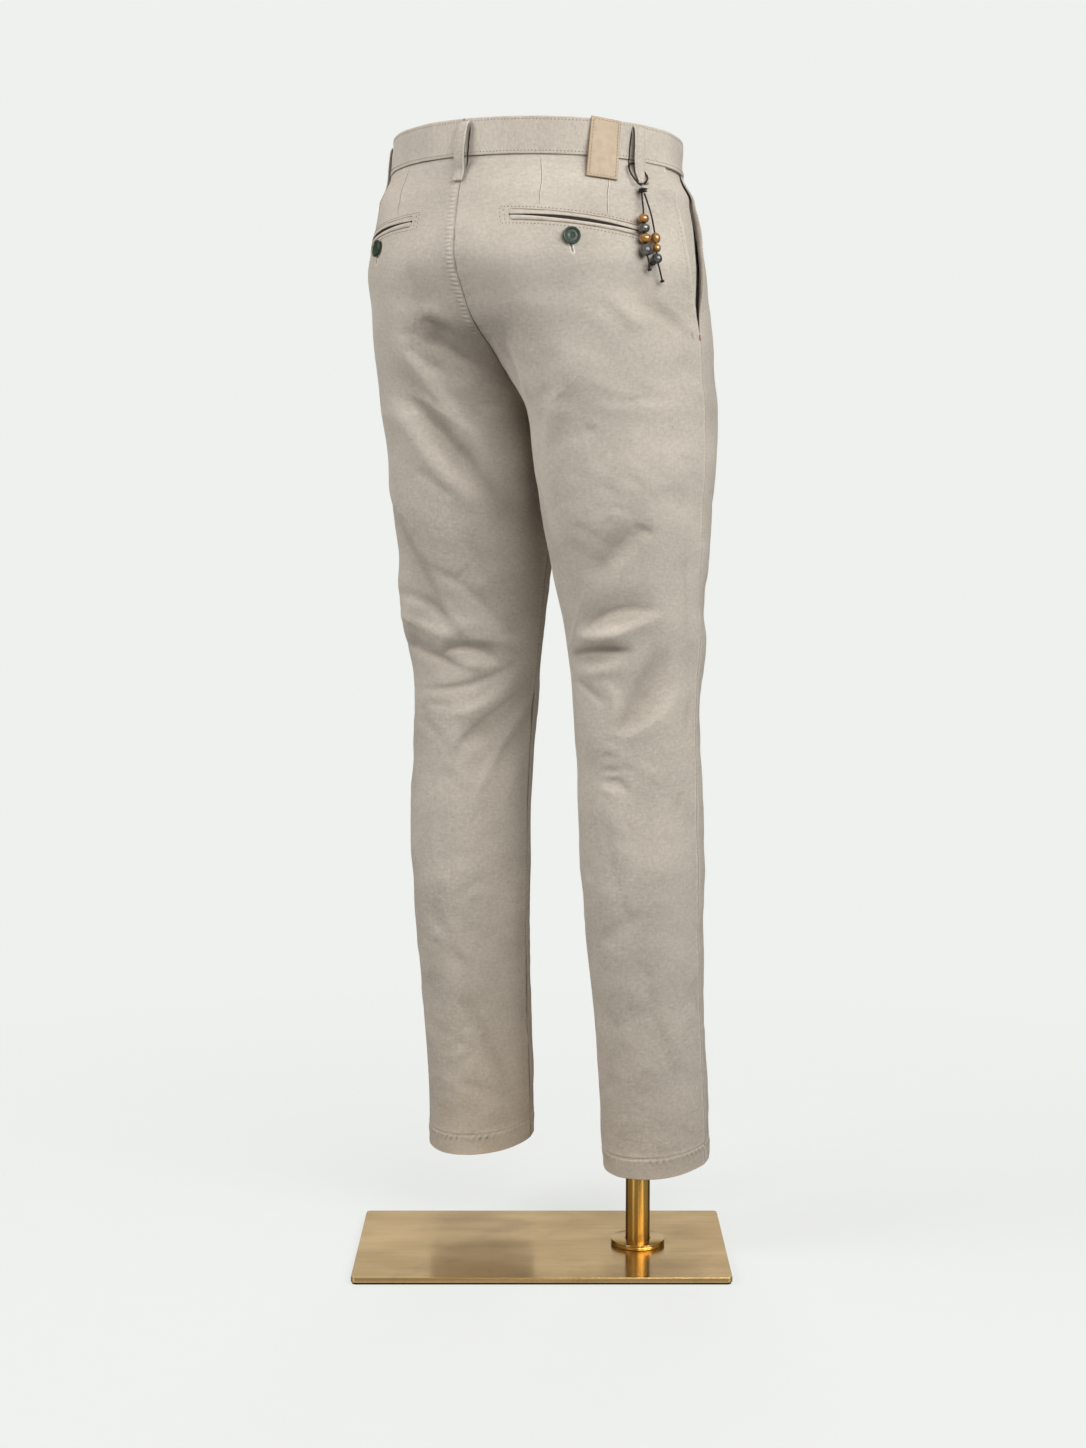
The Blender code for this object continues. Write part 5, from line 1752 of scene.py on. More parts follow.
    def welts(self, leg: Leg) -> None:
        """The two lips of a back pocket, with a dark strip between them as the painted shadow of
        the pocket.
        """
        start, end = np.radians(self.welt_turns[::-1])
        turn = np.linspace(start, end, 90)[None, :]
        share = np.linspace(0, 1, 90)[None, :]
        across = np.array([0, 0.04, 0.1, 0.2, 0.35, 0.5, 0.65, 0.78, 0.88, 0.94, 0.98, 1])[:, None]
        ends = np.sqrt(np.clip(1 - (np.abs(2 * share - 1)) ** 14, 0, 1))
        gape = 0.35 + 1.15 * np.sin(pi * np.clip(share * 1.05, 0, 1)) ** 1.3
        ripple = 0.25 * Noise(51 if leg is Leg.LEFT else 52).at(share * 14 + 3, across * 0 + 2)
        for lip, side in (("upper", 1.0), ("lower", -1.0)):
            high = (self.welt_height + ripple) * (1.0 if lip == "upper" else 0.92)
            z = self.slit(turn) + side * MM * (gape + (high - gape) * across)
            bulge = (1 - np.abs(2 * across**0.8 - 1) ** 2.6) ** 0.5
            off = MM * (0.12 + 0.85 * bulge * ends * (0.85 if lip == "lower" else 1.0))
            angle = np.broadcast_to(turn, off.shape)
            # pale lip faces, partly wear and partly painted highlight, and painted shade along the
            # lip's outer edge
            worn = np.broadcast_to(0.55 * bell(across - 0.25, 0.2), off.shape)
            edge = 0.9 if lip == "upper" else 0.25
            groove = np.broadcast_to(edge * bell(across - 1.0, 0.12), off.shape)
            piece = self.strip(
                f"welt_{lip}_{leg.value}_lip",
                leg,
                angle,
                z,
                off,
                off * 0 - 0.0002,
                {"worn": worn, "groove": groove},
            )
            Maker.finish(piece, self.finishes.twill, Slot.TWILL, (f"back_welt_{lip}_{leg.value}",))
        # a dark strip in the slit: the painted shadow of the pocket's opening
        rows = np.linspace(-1, 1, 5)[:, None]
        z = self.slit(turn) + MM * rows * (gape + 0.5)
        off = np.broadcast_to(0.0003 + 0.00012 * (1 - rows**2), z.shape)
        angle = np.broadcast_to(turn, z.shape)
        dark = self.strip(f"pocket_slit_shadow_{leg.value}", leg, angle, z, off, off - 0.0008, {})
        Maker.finish(dark, self.finishes.shadow, Slot.TWILL)

    def mouth_shadows(self, leg: Leg) -> None:
        """A painted shadow: a dark strip in a side pocket behind its front lip, of uneven width."""
        z = np.linspace(0.8935, 1.0215, 60)
        share = np.linspace(0, 1, 7)
        lip = FORM.mouth_turn(z)
        fade = np.sqrt(np.clip(np.sin(pi * (z - z[0]) / (z[-1] - z[0])), 0.0, 1.0))
        wide = (0.010 + 0.020 * smooth((0.985 - z) / 0.05)) * fade
        wide = wide * (1 + 0.35 * Noise(71 + (leg is Leg.LEFT)).at(3 + z / 0.021, 2 + z * 0))
        turn = lip[:, None] - 0.030 + (0.032 + wide[:, None]) * share
        height = z[:, None] * np.ones_like(turn)
        depth = self.trousers.mouth_depth(turn, height) - 0.00035
        name, under = f"pocket_shadow_{leg.value}", -depth - 0.0003
        dark = self.strip(name, leg, turn, height, -depth, under, {})
        Maker.finish(dark, self.finishes.shadow, Slot.TWILL)

    def fly(self) -> None:
        """The overlapping fly on the left front."""
        z = np.linspace(self.fly_z, FORM.seam_z - FORM.gap, 60)
        start = FORM.mid_turn(Leg.LEFT, z, Face.FRONT)
        rounding = np.clip((z - self.fly_z) / 0.045, 0.02, 1.0)
        width = self.fly_width * np.sqrt(1 - (1 - rounding) ** 2)
        middle = np.linspace(0.1, 0.9, 18)
        share = np.concatenate([[0, 0.01, 0.03, 0.06], middle, [0.94, 0.97, 0.99, 1]])
        turn = start[:, None] + (width / FORM.section(Leg.LEFT, z)["out"])[:, None] * share
        height = z[:, None] * np.ones_like(turn)
        near = np.minimum(share, 1 - share)[None, :] * width[:, None]
        off = 0.0016 - 0.0009 * np.clip(1 - near / 0.0009, 0, 1) ** 2
        # pale edges, partly wear and partly painted highlight
        worn = 0.6 * bell(near, 0.0015)
        values = {"worn": worn, "groove": worn * 0.0}
        fly = self.strip("fly_front_cloth", Leg.LEFT, turn, height, off, off * 0 + 0.0002, values)
        Maker.finish(fly, self.finishes.twill, Slot.TWILL, ("fly_front_left",))

    def button(self, name: str, leg: Leg, at: float, z: float, off: float) -> None:
        """A turned button with a rim and a dish, held by a cross of thread.

        Args:
            name: the CAD node that it replaces.
            leg: the side.
            at: its turn in degrees.
            z: its height in metres.
            off: how far its back stands off the cloth, in metres.
        """
        shares = (
            (0.0, 0.34), (0.16, 0.36), (0.30, 0.46), (0.40, 0.60), (0.48, 0.62), (0.56, 0.52),
            (0.66, 0.54), (0.76, 0.86), (0.84, 0.98), (0.90, 1.00), (0.96, 0.90), (1.0, 0.62),
            (0.99, 0.42), (0.90, 0.10), (0.62, 0.0), (0.0, 0.0),
        )
        profile = [(r * self.button_radius, h * self.button_depth) for r, h in shares]
        turn = radians(at)
        normal = Vector(FORM.normal(leg, np.array(turn), np.array(z)))
        centre = Vector(self.cloth.point(leg, turn, z, off))
        place = Matrix.Translation(centre) @ normal.to_track_quat("Z", "Y").to_matrix().to_4x4()
        disc = Turner.turn(f"{name}_disc", profile, 40, place)
        Maker.finish(disc, self.finishes.button, Slot.BUTTON, (name,))
        lines, top = [], self.button_depth * 0.40
        for way in (1, -1):
            ends = [Vector((x * 0.0013, x * way * 0.0013, top)) for x in (-1, 1)]
            line = np.array([tuple(place @ ends[0].lerp(ends[1], s)) for s in np.linspace(0, 1, 5)])
            lines.append((line, np.tile(np.array(normal), (5, 1))))
        sizes = (3.5, 0.1, 0.42)
        self.needle.stitch(f"{name}_thread", lines, self.finishes.button, sizes, Slot.BUTTON)
        stem = [(0.0, 0.0009), (0.0016, 0.0009), (0.0016, -off * 0.9), (0.0, -off * 0.9)]
        shank = Turner.turn(f"{name}_shank", stem, 12, place)
        # dark thread, partly painted shade under the button
        Maker.finish(shank, self.finishes.shaded_thread, Slot.TWILL)

    def beside_slit(self, start: float, end: float, count: int, rise: float) -> list[Pair]:
        """A line that follows a back pocket's slit, raised by some mm."""
        return [(t, self.slit(np.radians(t)) / MM + rise) for t in np.linspace(start, end, count)]

    def sew_all(self) -> None:
        """Every line of stitching, the darts, buttonholes and bar tacks."""
        needle, finishes = self.needle, self.finishes
        right, left, thread = Leg.RIGHT, Leg.LEFT, finishes.thread
        turns, rows = range(-88, 93, 6), (1073.9, 1046.1)
        band = [Run(leg, [(t, z) for t in turns], 0.12) for leg in Leg for z in rows]
        # the waistband's stitches are dark, as painted shade of the sunk stitch line
        needle.sew("waistband_stitches", band, finishes.seam_shade, 1.6, 1.7, 0.42)
        line, halves = self.trousers.stitch_z / MM, (range(-4, 188, 8), range(-164, -8, 8))
        hems = [Run(leg, [(t, line) for t in turns], 0.38) for leg in Leg for turns in halves]
        needle.sew("hem_stitches", hems, finishes.pale_thread, 2.5, 0.9, 0.25)
        box, edges = [], []
        for leg in Leg:
            top, low = (self.beside_slit(75.2, 26.5, 15, rise) for rise in (7.0, -7.4))
            box += [Run(leg, top), Run(leg, low), Run(leg, (top[0], low[0]))]
            box.append(Run(leg, ((73.6, top[0][1] - 1.5), (73.6, low[0][1] + 1.5))))
            for rise in (4.9, -4.5):
                edges.append(Run(leg, self.beside_slit(71.4, 26.6, 12, rise), 0.0))
        # the pocket box stitches are dark thread, partly painted shade where they sink
        needle.sew("pocket_box_stitches", box, finishes.shaded_thread, 1.6, 1.8, 0.37)
        needle.cordlet("welt_edge_shades", edges, finishes.seam_shade, 0.42)
        seat = [(86.5 - 0.02 * i, z) for i, z in enumerate(range(1040, 872, -8))]
        needle.sew("seat_stitches", [Run(left, seat, 0.05)], thread, 2.2, 2.6, 0.22)
        heights = np.arange(895, 1042, 7)
        lip = list(zip(np.degrees(FORM.mouth_turn(heights * MM)) - 2.6, heights))
        side = [(6.4 - 0.016 * (1012 - z), z) for z in range(1012, 894, -8)]
        darts = ((60.0, 1042.0, 61.4, 997.4), (35.9, 1041.5, 38.4, 988.6))
        for leg in Leg:
            needle.sew(f"mouth_stitches_{leg.value}", [Run(leg, lip)], thread, 2.1, 1.0, 0.22)
            # the side stitches are dark thread, partly painted shade where they sink
            name, runs = f"side_stitches_{leg.value}", [Run(leg, side, 0.1)]
            needle.sew(name, runs, finishes.shaded_thread, 1.5, 2.6, 0.17)
            # each dart is a pale cord as a painted highlight on its edge and a dark cord as the
            # painted shade of its fold
            for name, aside, off, colour, radius in (
                ("dart_edge_highlights", 0.25, -0.20, finishes.pale_thread, 0.40),
                ("dart_fold_shades", 0.0, -0.04, finishes.seam_shade, 0.38),
            ):
                runs = [Run(leg, ((a - aside, z), (b - aside, end)), off) for a, z, b, end in darts]
                needle.cordlet(f"{name}_{leg.value}", runs, colour, radius)
        shades = [
            Run(right, ((87.0, 1071.0), (88.4, 1032.0)), 0.3),
            Run(right, ((22.8, 1071.0), (25.3, 1034.0)), 0.3),
            Run(left, ((18.2, 1072.0), (18.5, 1034.0)), 0.1),
        ]
        needle.cordlet("loop_shades", shades, finishes.shadow, 0.60)
        fly = [(-66, 1041), (-66.5, 1000), (-67.5, 950), (-70, 925), (-77, 905), (-86, 896)]
        needle.sew("fly_stitches", [Run(left, fly, 1.75)], thread, 2.2, 1.0, 0.23)
        for name, block, tack, radius in (
            ("black_bar_tacks", (34.2, 979.8, 3.0, 3.8, 0.9), finishes.black_thread, 0.36),
            ("red_bar_tacks", (-1.8, 887.0, 3.4, 4.2, 0.5), finishes.red_thread, 0.38),
        ):
            needle.satin(name, [(leg, *block) for leg in (right, left)], tack, radius)
        pink = []
        for leg in Leg:
            for turn, z in ((6.0, 893.0), (5.5, 890.8), (5.0, 888.6)):
                pink.append(Run(leg, ((turn, z), (turn - 2.6, z - 5.0)), 0.3))
        needle.sew("pocket_end_stitches", pink, finishes.pink_thread, 4.6, 0.6, 0.22)
        holes, bars, turn = [], [], 52.6
        for leg in Leg:
            holes.append(Run(leg, ((turn, 965.0), (turn, 957.4)), 0.10))
            ends = []
            for side in (-1.0, 1.0):
                for z in np.arange(957.5, 965.5, 0.60):
                    ends.append(((turn + side * 0.30, z), (turn + side * 0.95, z)))
            for angle in np.linspace(0, pi, 9):
                c, s = cos(angle), sin(angle)
                near = (turn + 0.30 * c, 957.2 - 0.6 * s)
                ends.append((near, (turn + 0.95 * c, 957.2 - 2.0 * s)))
            bars += [Run(leg, pair, 0.20) for pair in ends]
        # dark cords in the buttonholes: the painted shadow of their slits
        needle.cordlet("buttonhole_slit_shadows", holes, finishes.shadow, 0.30)
        needle.sew("buttonhole_stitches", bars, finishes.white_thread, 1.35, 0.0, 0.30)

    def build(self) -> None:
        """Makes every trim in the order that they are sewn."""
        for loop in self.loops:
            self.belt_loop(*loop)
        for leg in Leg:
            self.welts(leg)
            self.button(f"back_button_{leg.value}", leg, self.button_turn, self.button_z, 0.0009)
            self.mouth_shadows(leg)
        self.patch()
        self.fly()
        self.button("waist_button", Leg.LEFT, -83.0, 1.060, 0.0015)
        self.sew_all()


class Turner:
    """Turned work: a profile spun round its axis in edit mode."""

    @staticmethod
    def turn(name: str, profile: list[Pair], steps: int, place: Matrix) -> Obj:
        """A closed turned solid.

        Args:
            name: the piece's name.
            profile: radius and height down its outer side, closed or ending on the axis.
            steps: faces round it.
            place: where its own frame lies in the part's frame.

        Returns:
            The solid, with its place in its mesh.
        """
        mesh = bpy.data.meshes.new(name)
        points = [(r, 0.0, h) for r, h in profile]
        edges = [(i, i + 1) for i in range(len(points) - 1)]
        if profile[0][0] > 0.0:
            edges.append((len(points) - 1, 0))
        mesh.from_pydata(points, edges, [])
        obj = bpy.data.objects.new(name, mesh)
        bpy.context.scene.collection.objects.link(obj)
        tools, axis = bpy.ops.mesh, {"center": (0, 0, 0), "axis": (0, 0, 1)}
        Maker.edit(
            obj,
            partial(tools.spin, steps=steps, angle=2 * pi, **axis),
            partial(tools.remove_doubles, threshold=1e-6),
            partial(tools.normals_make_consistent, inside=False),
        )
        mesh.transform(place)
        mesh.update()
        bpy.ops.object.shade_smooth_by_angle(angle=radians(32))
        obj.select_set(False)
        return obj


@dataclass
class Charm:
    """The bead charm: a hanger round the belt loop, a knot, two cords and seven beads."""

    cloth: Cloth
    finishes: Finishes
    cord: float = 0.0008
    knot: Triple = (24.3, 1013.8, 5.8)
    hole: float = 0.0017
    beads: tuple[tuple[str, float, float, float, float, float, bool], ...] = (
        ("charm_bead_1", 26.2, 987.2, 7.2, 5.0, 4.2, True),
        ("charm_bead_2", 26.5, 978.8, 7.0, 5.5, 4.1, False),
        ("charm_bead_3", 26.5, 969.9, 7.0, 5.5, 4.5, True),
        ("charm_bead_4", 22.2, 971.0, 7.0, 4.5, 4.8, True),
        ("charm_bead_5", 22.3, 962.1, 6.6, 4.0, 3.7, True),
        ("charm_bead_6", 27.0, 959.6, 7.2, 5.4, 5.4, False),
        ("charm_bead_7", 23.0, 953.6, 6.8, 5.0, 4.5, False),
    )
    hanger: tuple[Triple, ...] = (
        (24.8, 1017.1, 5.8), (26.4, 1020.0, 5.0), (27.2, 1026.0, 3.8), (26.8, 1033.0, 3.1),
        (25.4, 1037.6, 3.0), (22.6, 1038.4, 2.9), (20.8, 1035.4, 3.0), (20.4, 1029.0, 3.9),
        (21.6, 1022.6, 6.4), (23.6, 1018.2, 6.2),
    )
    cord_a: tuple[Triple, ...] = (
        (24.9, 1011.2, 5.9), (25.2, 1004.0, 6.6), (25.6, 996.0, 7.1), (26.2, 987.2, 7.2),
        (26.5, 978.8, 7.0), (26.5, 969.9, 7.0), (27.0, 959.6, 7.2), (26.6, 951.4, 6.9),
        (26.2, 944.6, 4.8),
    )
    cord_b: tuple[Triple, ...] = (
        (23.8, 1011.2, 5.9), (23.2, 1002.0, 6.8), (22.7, 990.0, 7.2), (22.4, 980.0, 7.2),
        (22.2, 971.0, 7.0), (22.3, 962.1, 6.6), (23.0, 953.6, 6.8), (22.3, 945.8, 6.4),
        (21.2, 935.4, 4.6),
    )

    def place(self, spot: Triple) -> Vector:
        """A point from its turn and height on the right hip and its distance off the form."""
        turn, z = np.array(radians(spot[0])), np.array(spot[1] * MM)
        point = FORM.point(Leg.RIGHT, turn, z) + FORM.normal(Leg.RIGHT, turn, z) * spot[2] * MM
        return Vector(point) + Vector((*FORM.at, 0.0))

    def strand(self, name: str, spots: tuple[Triple, ...]) -> Obj:
        """One cord as a tube of its own.

        Args:
            name: the CAD node that it replaces.
            spots: what it passes, each by turn, height and distance as in place.

        Returns:
            The cord.
        """
        path = Maker.spline([self.place(s) for s in spots], 8)
        length = float(Maker.arc(path)[-1])
        points, faces = Maker.tube_points(path, self.cord, 10)
        cord = Maker.outwards(Maker.mesh(f"{name}_strand", points, faces))
        Maker.finish(cord, self.finishes.cord, Slot.CORD, (name,))
        return cord

    def wound(self, name: str, centre: Vector, size: Triple, turns: int, nodes: tuple) -> Obj:
        """A knot: a cord wound closely round itself, one wrap crossing the others.

        Args:
            name: the piece's name.
            centre: its middle.
            size: its width, depth and height in metres.
            turns: how many wraps it has.
            nodes: the CAD nodes that it replaces.

        Returns:
            The knot.
        """
        angle = np.linspace(0, 2 * pi * turns, turns * 22)
        share = np.linspace(-1, 1, len(angle))
        round_it = np.sqrt(np.clip(1.12 - share**2, 0.1, 1))
        wobble = 1 + 0.06 * np.sin(angle * 0.37 + 1)
        half = np.array(size) / 2
        x, y = np.cos(angle) * round_it * wobble, np.sin(angle) * round_it
        route = np.stack([x, y, 0.9 * share + 0.22 * np.sin(angle * 0.5)], -1)
        points, faces = Maker.tube_points(route * half + np.array(centre), self.cord * 0.95, 8)
        core = np.array([centre + Vector((0, 0, h * half[2])) for h in (-0.9, -0.5, 0, 0.5, 0.9)])
        thick = np.array([0.25, 0.36, 0.38, 0.36, 0.25]) * min(size[:2])
        core_points, core_faces = Maker.tube_points(core, thick, 10)
        faces = faces + [tuple(n + len(points) for n in f) for f in core_faces]
        knot = Maker.outwards(Maker.mesh(name, np.concatenate([points, core_points]), faces))
        return Maker.finish(knot, self.finishes.cord, Slot.CORD, nodes)

    def bead(self, row: tuple) -> Obj:
        """A bead threaded on its cord.

        Args:
            row: its name, its turn, height and distance as in place, its radius and half its
                length in mm, and whether it is gold.

        Returns:
            The bead.
        """
        name, turn, z, off, radius, half, gold = row
        spot = (turn, z, off)
        route = self.cord_a if spot in self.cord_a else self.cord_b
        index = route.index(spot)
        axis = (self.place(route[index - 1]) - self.place(route[index + 1])).normalized()
        widest = radians(74)
        side = []
        for step in range(15):
            angle = widest * (1 - step / 7)
            height = half * sin(angle) / sin(widest)
            side.append((radius * cos(angle) ** 0.8 * MM, height * MM))
        profile = [*side, (self.hole, -half * MM), (self.hole, half * MM)]
        lean = axis.to_track_quat("Z", "Y").to_matrix().to_4x4()
        place = Matrix.Translation(self.place(spot)) @ lean
        bead = Turner.turn(f"{name}_stone", profile, 28, place)
        finish, slot = (self.finishes.gold, Slot.GOLD) if gold else (self.finishes.grey, Slot.GREY)
        return Maker.finish(bead, finish, slot, (name,))

    def build(self) -> None:
        """Makes the cords first, then what is threaded and tied on them."""
        knot = self.wound(
            "charm_knot_wraps", self.place(self.knot), (0.0070, 0.0054, 0.0046), 4, ("charm_knot",)
        )
        for name, spots in (("charm_end_a", self.cord_a), ("charm_end_b", self.cord_b)):
            self.wound(name, self.place(spots[-1]), (0.0030, 0.0026, 0.0028), 2, ())
        at, size = self.place((25.0, 949.4, 6.7)), (0.0046, 0.0036, 0.0030)
        lower = self.wound("charm_lower_knot", at, size, 3, ())
        beads = [self.bead(row) for row in self.beads]
        self.strand("charm_hanger", self.hanger)
        self.strand("charm_cord_a", self.cord_a)
        self.strand("charm_cord_b", self.cord_b)


@dataclass
class Stand:
    """The brass stand: pad, plate, collar, post, crossbar and the hoop inside the waist."""

    turn = radians(32)

    finishes: Finishes
    plate: Triple = (0.360, 0.210, 0.005)
    pad: Triple = (0.358, 0.208, 0.0017)
    corner: float = 0.0045
    post_along: float = 0.0945
    post_radius: float = 0.012
    collar_radius: float = 0.0265
    collar_height: float = 0.005
    hoop_z: float = 1.049
    hoop_height: float = 0.018
    hoop_wall: float = 0.0025
    bar: Pair = (0.014, 0.009)
    gap: float = 0.0003

    def slab(self, name: str, size: Triple, place: Matrix, corner: float, edge: float) -> Obj:
        """A flat block with round corners and softened edges, modelled in edit mode.

        Args:
            name: the piece's name.
            size: its length, width and height in metres.
            place: where its middle stands.
            corner: the radius of its round corners.
            edge: the width of its softened edges.

        Returns:
            The block.
        """
        Maker.clear_selection()
        bpy.ops.mesh.primitive_cube_add(size=1.0)
        obj, high = bpy.context.object, size[2]
        obj.name = obj.data.name = name
        obj.data.transform(Matrix.Diagonal((*size, 1.0)))
        self.soften(obj, lambda a, b: abs(a.z - b.z) > high / 2, corner, 8)
        self.soften(obj, lambda a, b: abs(a.z - b.z) < high / 2 and abs(a.z) > high * 0.45, edge, 3)
        obj.data.transform(place)
        obj.data.update()
        bpy.ops.object.shade_smooth_by_angle(angle=radians(35))
        for face in obj.data.polygons:
            face.use_smooth = face.use_smooth and abs(face.normal.z) < 0.9999
        obj.select_set(False)
        return obj

    @staticmethod
    def soften(obj: Obj, wanted: Callable, width: float, segments: int) -> None:
        """Bevels the edges whose two ends pass a test.

        Args:
            obj: the piece.
            wanted: the test, which is given both ends of an edge.
            width: of the bevel, in metres.
            segments: how many faces the bevel has.
        """
        tools, mode = bpy.ops.mesh, bpy.ops.object.mode_set
        mode(mode="EDIT")
        tools.select_all(action="DESELECT")
        tools.select_mode(type="EDGE")
        mode(mode="OBJECT")
        for line in obj.data.edges:
            line.select = bool(wanted(*(obj.data.vertices[i].co for i in line.vertices)))
        mode(mode="EDIT")
        tools.bevel(offset=width, segments=segments, profile=0.5, affect="EDGES")
        mode(mode="OBJECT")

    def standing(self, height: float) -> Matrix:
        """The plate's frame at a height."""
        return Matrix.Translation((0, 0, height)) @ Matrix.Rotation(self.turn, 4, "Z")

    def build(self) -> None:
        """Makes the stand from the surface up."""
        brass, tube = self.finishes.plate, self.finishes.post
        pad = self.slab("base_pad", self.pad, self.standing(self.pad[2] / 2), self.corner, 0.0003)
        Maker.finish(pad, self.finishes.rubber, Slot.RUBBER, ("stand_pad",))
        bottom = self.pad[2] + self.gap
        middle = self.standing(bottom + self.plate[2] / 2)
        plate = self.slab("brass_plate", self.plate, middle, self.corner, 0.0005)
        Maker.finish(plate, brass, Slot.BRASS, ("stand_plate",))
        at = self.standing(0.0) @ Vector((-self.post_along, 0, 0))
        at.z = bottom + self.plate[2] + self.gap
        bore, outer, high = self.post_radius + self.gap, self.collar_radius, self.collar_height
        lip, groove = outer - 0.0002, outer - 0.0007
        collar = [
            (bore, high - 0.0003), (bore + 0.0003, high), (groove, high), (lip, high - 0.0002),
            (outer, high - 0.0007), (outer, 0.0033), (lip, 0.0030), (groove, 0.0028), (lip, 0.0026),
            (outer, 0.0023), (outer, 0.0007), (lip, 0.0002), (outer - 0.0006, 0.0), (bore, 0.0),
        ]
        ring = Turner.turn("brass_collar", collar, 96, Matrix.Translation(at))
        Maker.finish(ring, tube, Slot.BRASS, ("stand_collar",))
        top = self.hoop_z + (self.hoop_height - self.bar[1]) / 2 - self.gap
        r, tall = self.post_radius, top - at.z
        profile = [(0, tall), (r - 0.0006, tall), (r, tall - 0.0006)]
        profile += [(r, tall * s) for s in (0.8, 0.6, 0.4, 0.2)]
        profile += [(r, 0.0004), (r - 0.0004, 0.0), (0, 0)]
        post = Turner.turn("brass_post", profile, 96, Matrix.Translation(at))
        Maker.finish(post, tube, Slot.BRASS, ("stand_post",))
        self.crossbar()
        self.hoop()

    def inside(self) -> float:
        """How far the hoop's outer face lies off the FORM."""
        return -(FORM.band - FORM.band_proud) - FORM.gap - 0.0001

    def crossbar(self) -> None:
        """The bar across the hoop, lying on the post's end."""
        low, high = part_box("waist_crossbar")
        size = tuple(high - low)
        place = Matrix.Translation((low + high) / 2)
        bar = self.slab("brass_crossbar", size, place, 0.0012, 0.0010)
        Maker.finish(bar, self.finishes.plate, Slot.BRASS, ("waist_crossbar",))

    def hoop(self) -> None:
        """The hoop that fills out the waistband."""
        quarter = np.linspace(0.0, pi, 91)[:-1] - pi / 2
        ways = (Leg.LEFT, quarter), (Leg.RIGHT, quarter[::-1] + pi / 90)
        ends = ((0.0, 0.0004), (0.06, 0.0), (0.94, 0.0), (1.0, 0.0004))
        outside = [(share, self.inside() - ease) for share, ease in ends]
        within = [(share, self.inside() - self.hoop_wall + ease) for share, ease in ends[::-1]]
        loop = []
        for share, off in outside + within:
            line = []
            for leg, turns in ways:
                level = np.full(turns.shape, self.hoop_z + self.hoop_height * share)
                line.append(FORM.point(leg, turns, level) + FORM.normal(leg, turns, level) * off)
            loop.append(np.concatenate(line) + np.array([*FORM.at, 0.0]))
        rows, columns = len(loop), len(loop[0])
        around = [(c, (c + 1) % columns) for c in range(columns)]
        faces = []
        for r in range(rows):
            here, after = r * columns, (r + 1) % rows * columns
            faces += [(here + a, here + b, after + b, after + a) for a, b in around]
        hoop = Maker.outwards(Maker.mesh("brass_hoop", np.array(loop), faces))
        hoop.select_set(True)
        bpy.ops.object.shade_smooth_by_angle(angle=radians(35))
        hoop.select_set(False)
        Maker.finish(hoop, self.finishes.plate, Slot.BRASS, ("waist_hoop",))


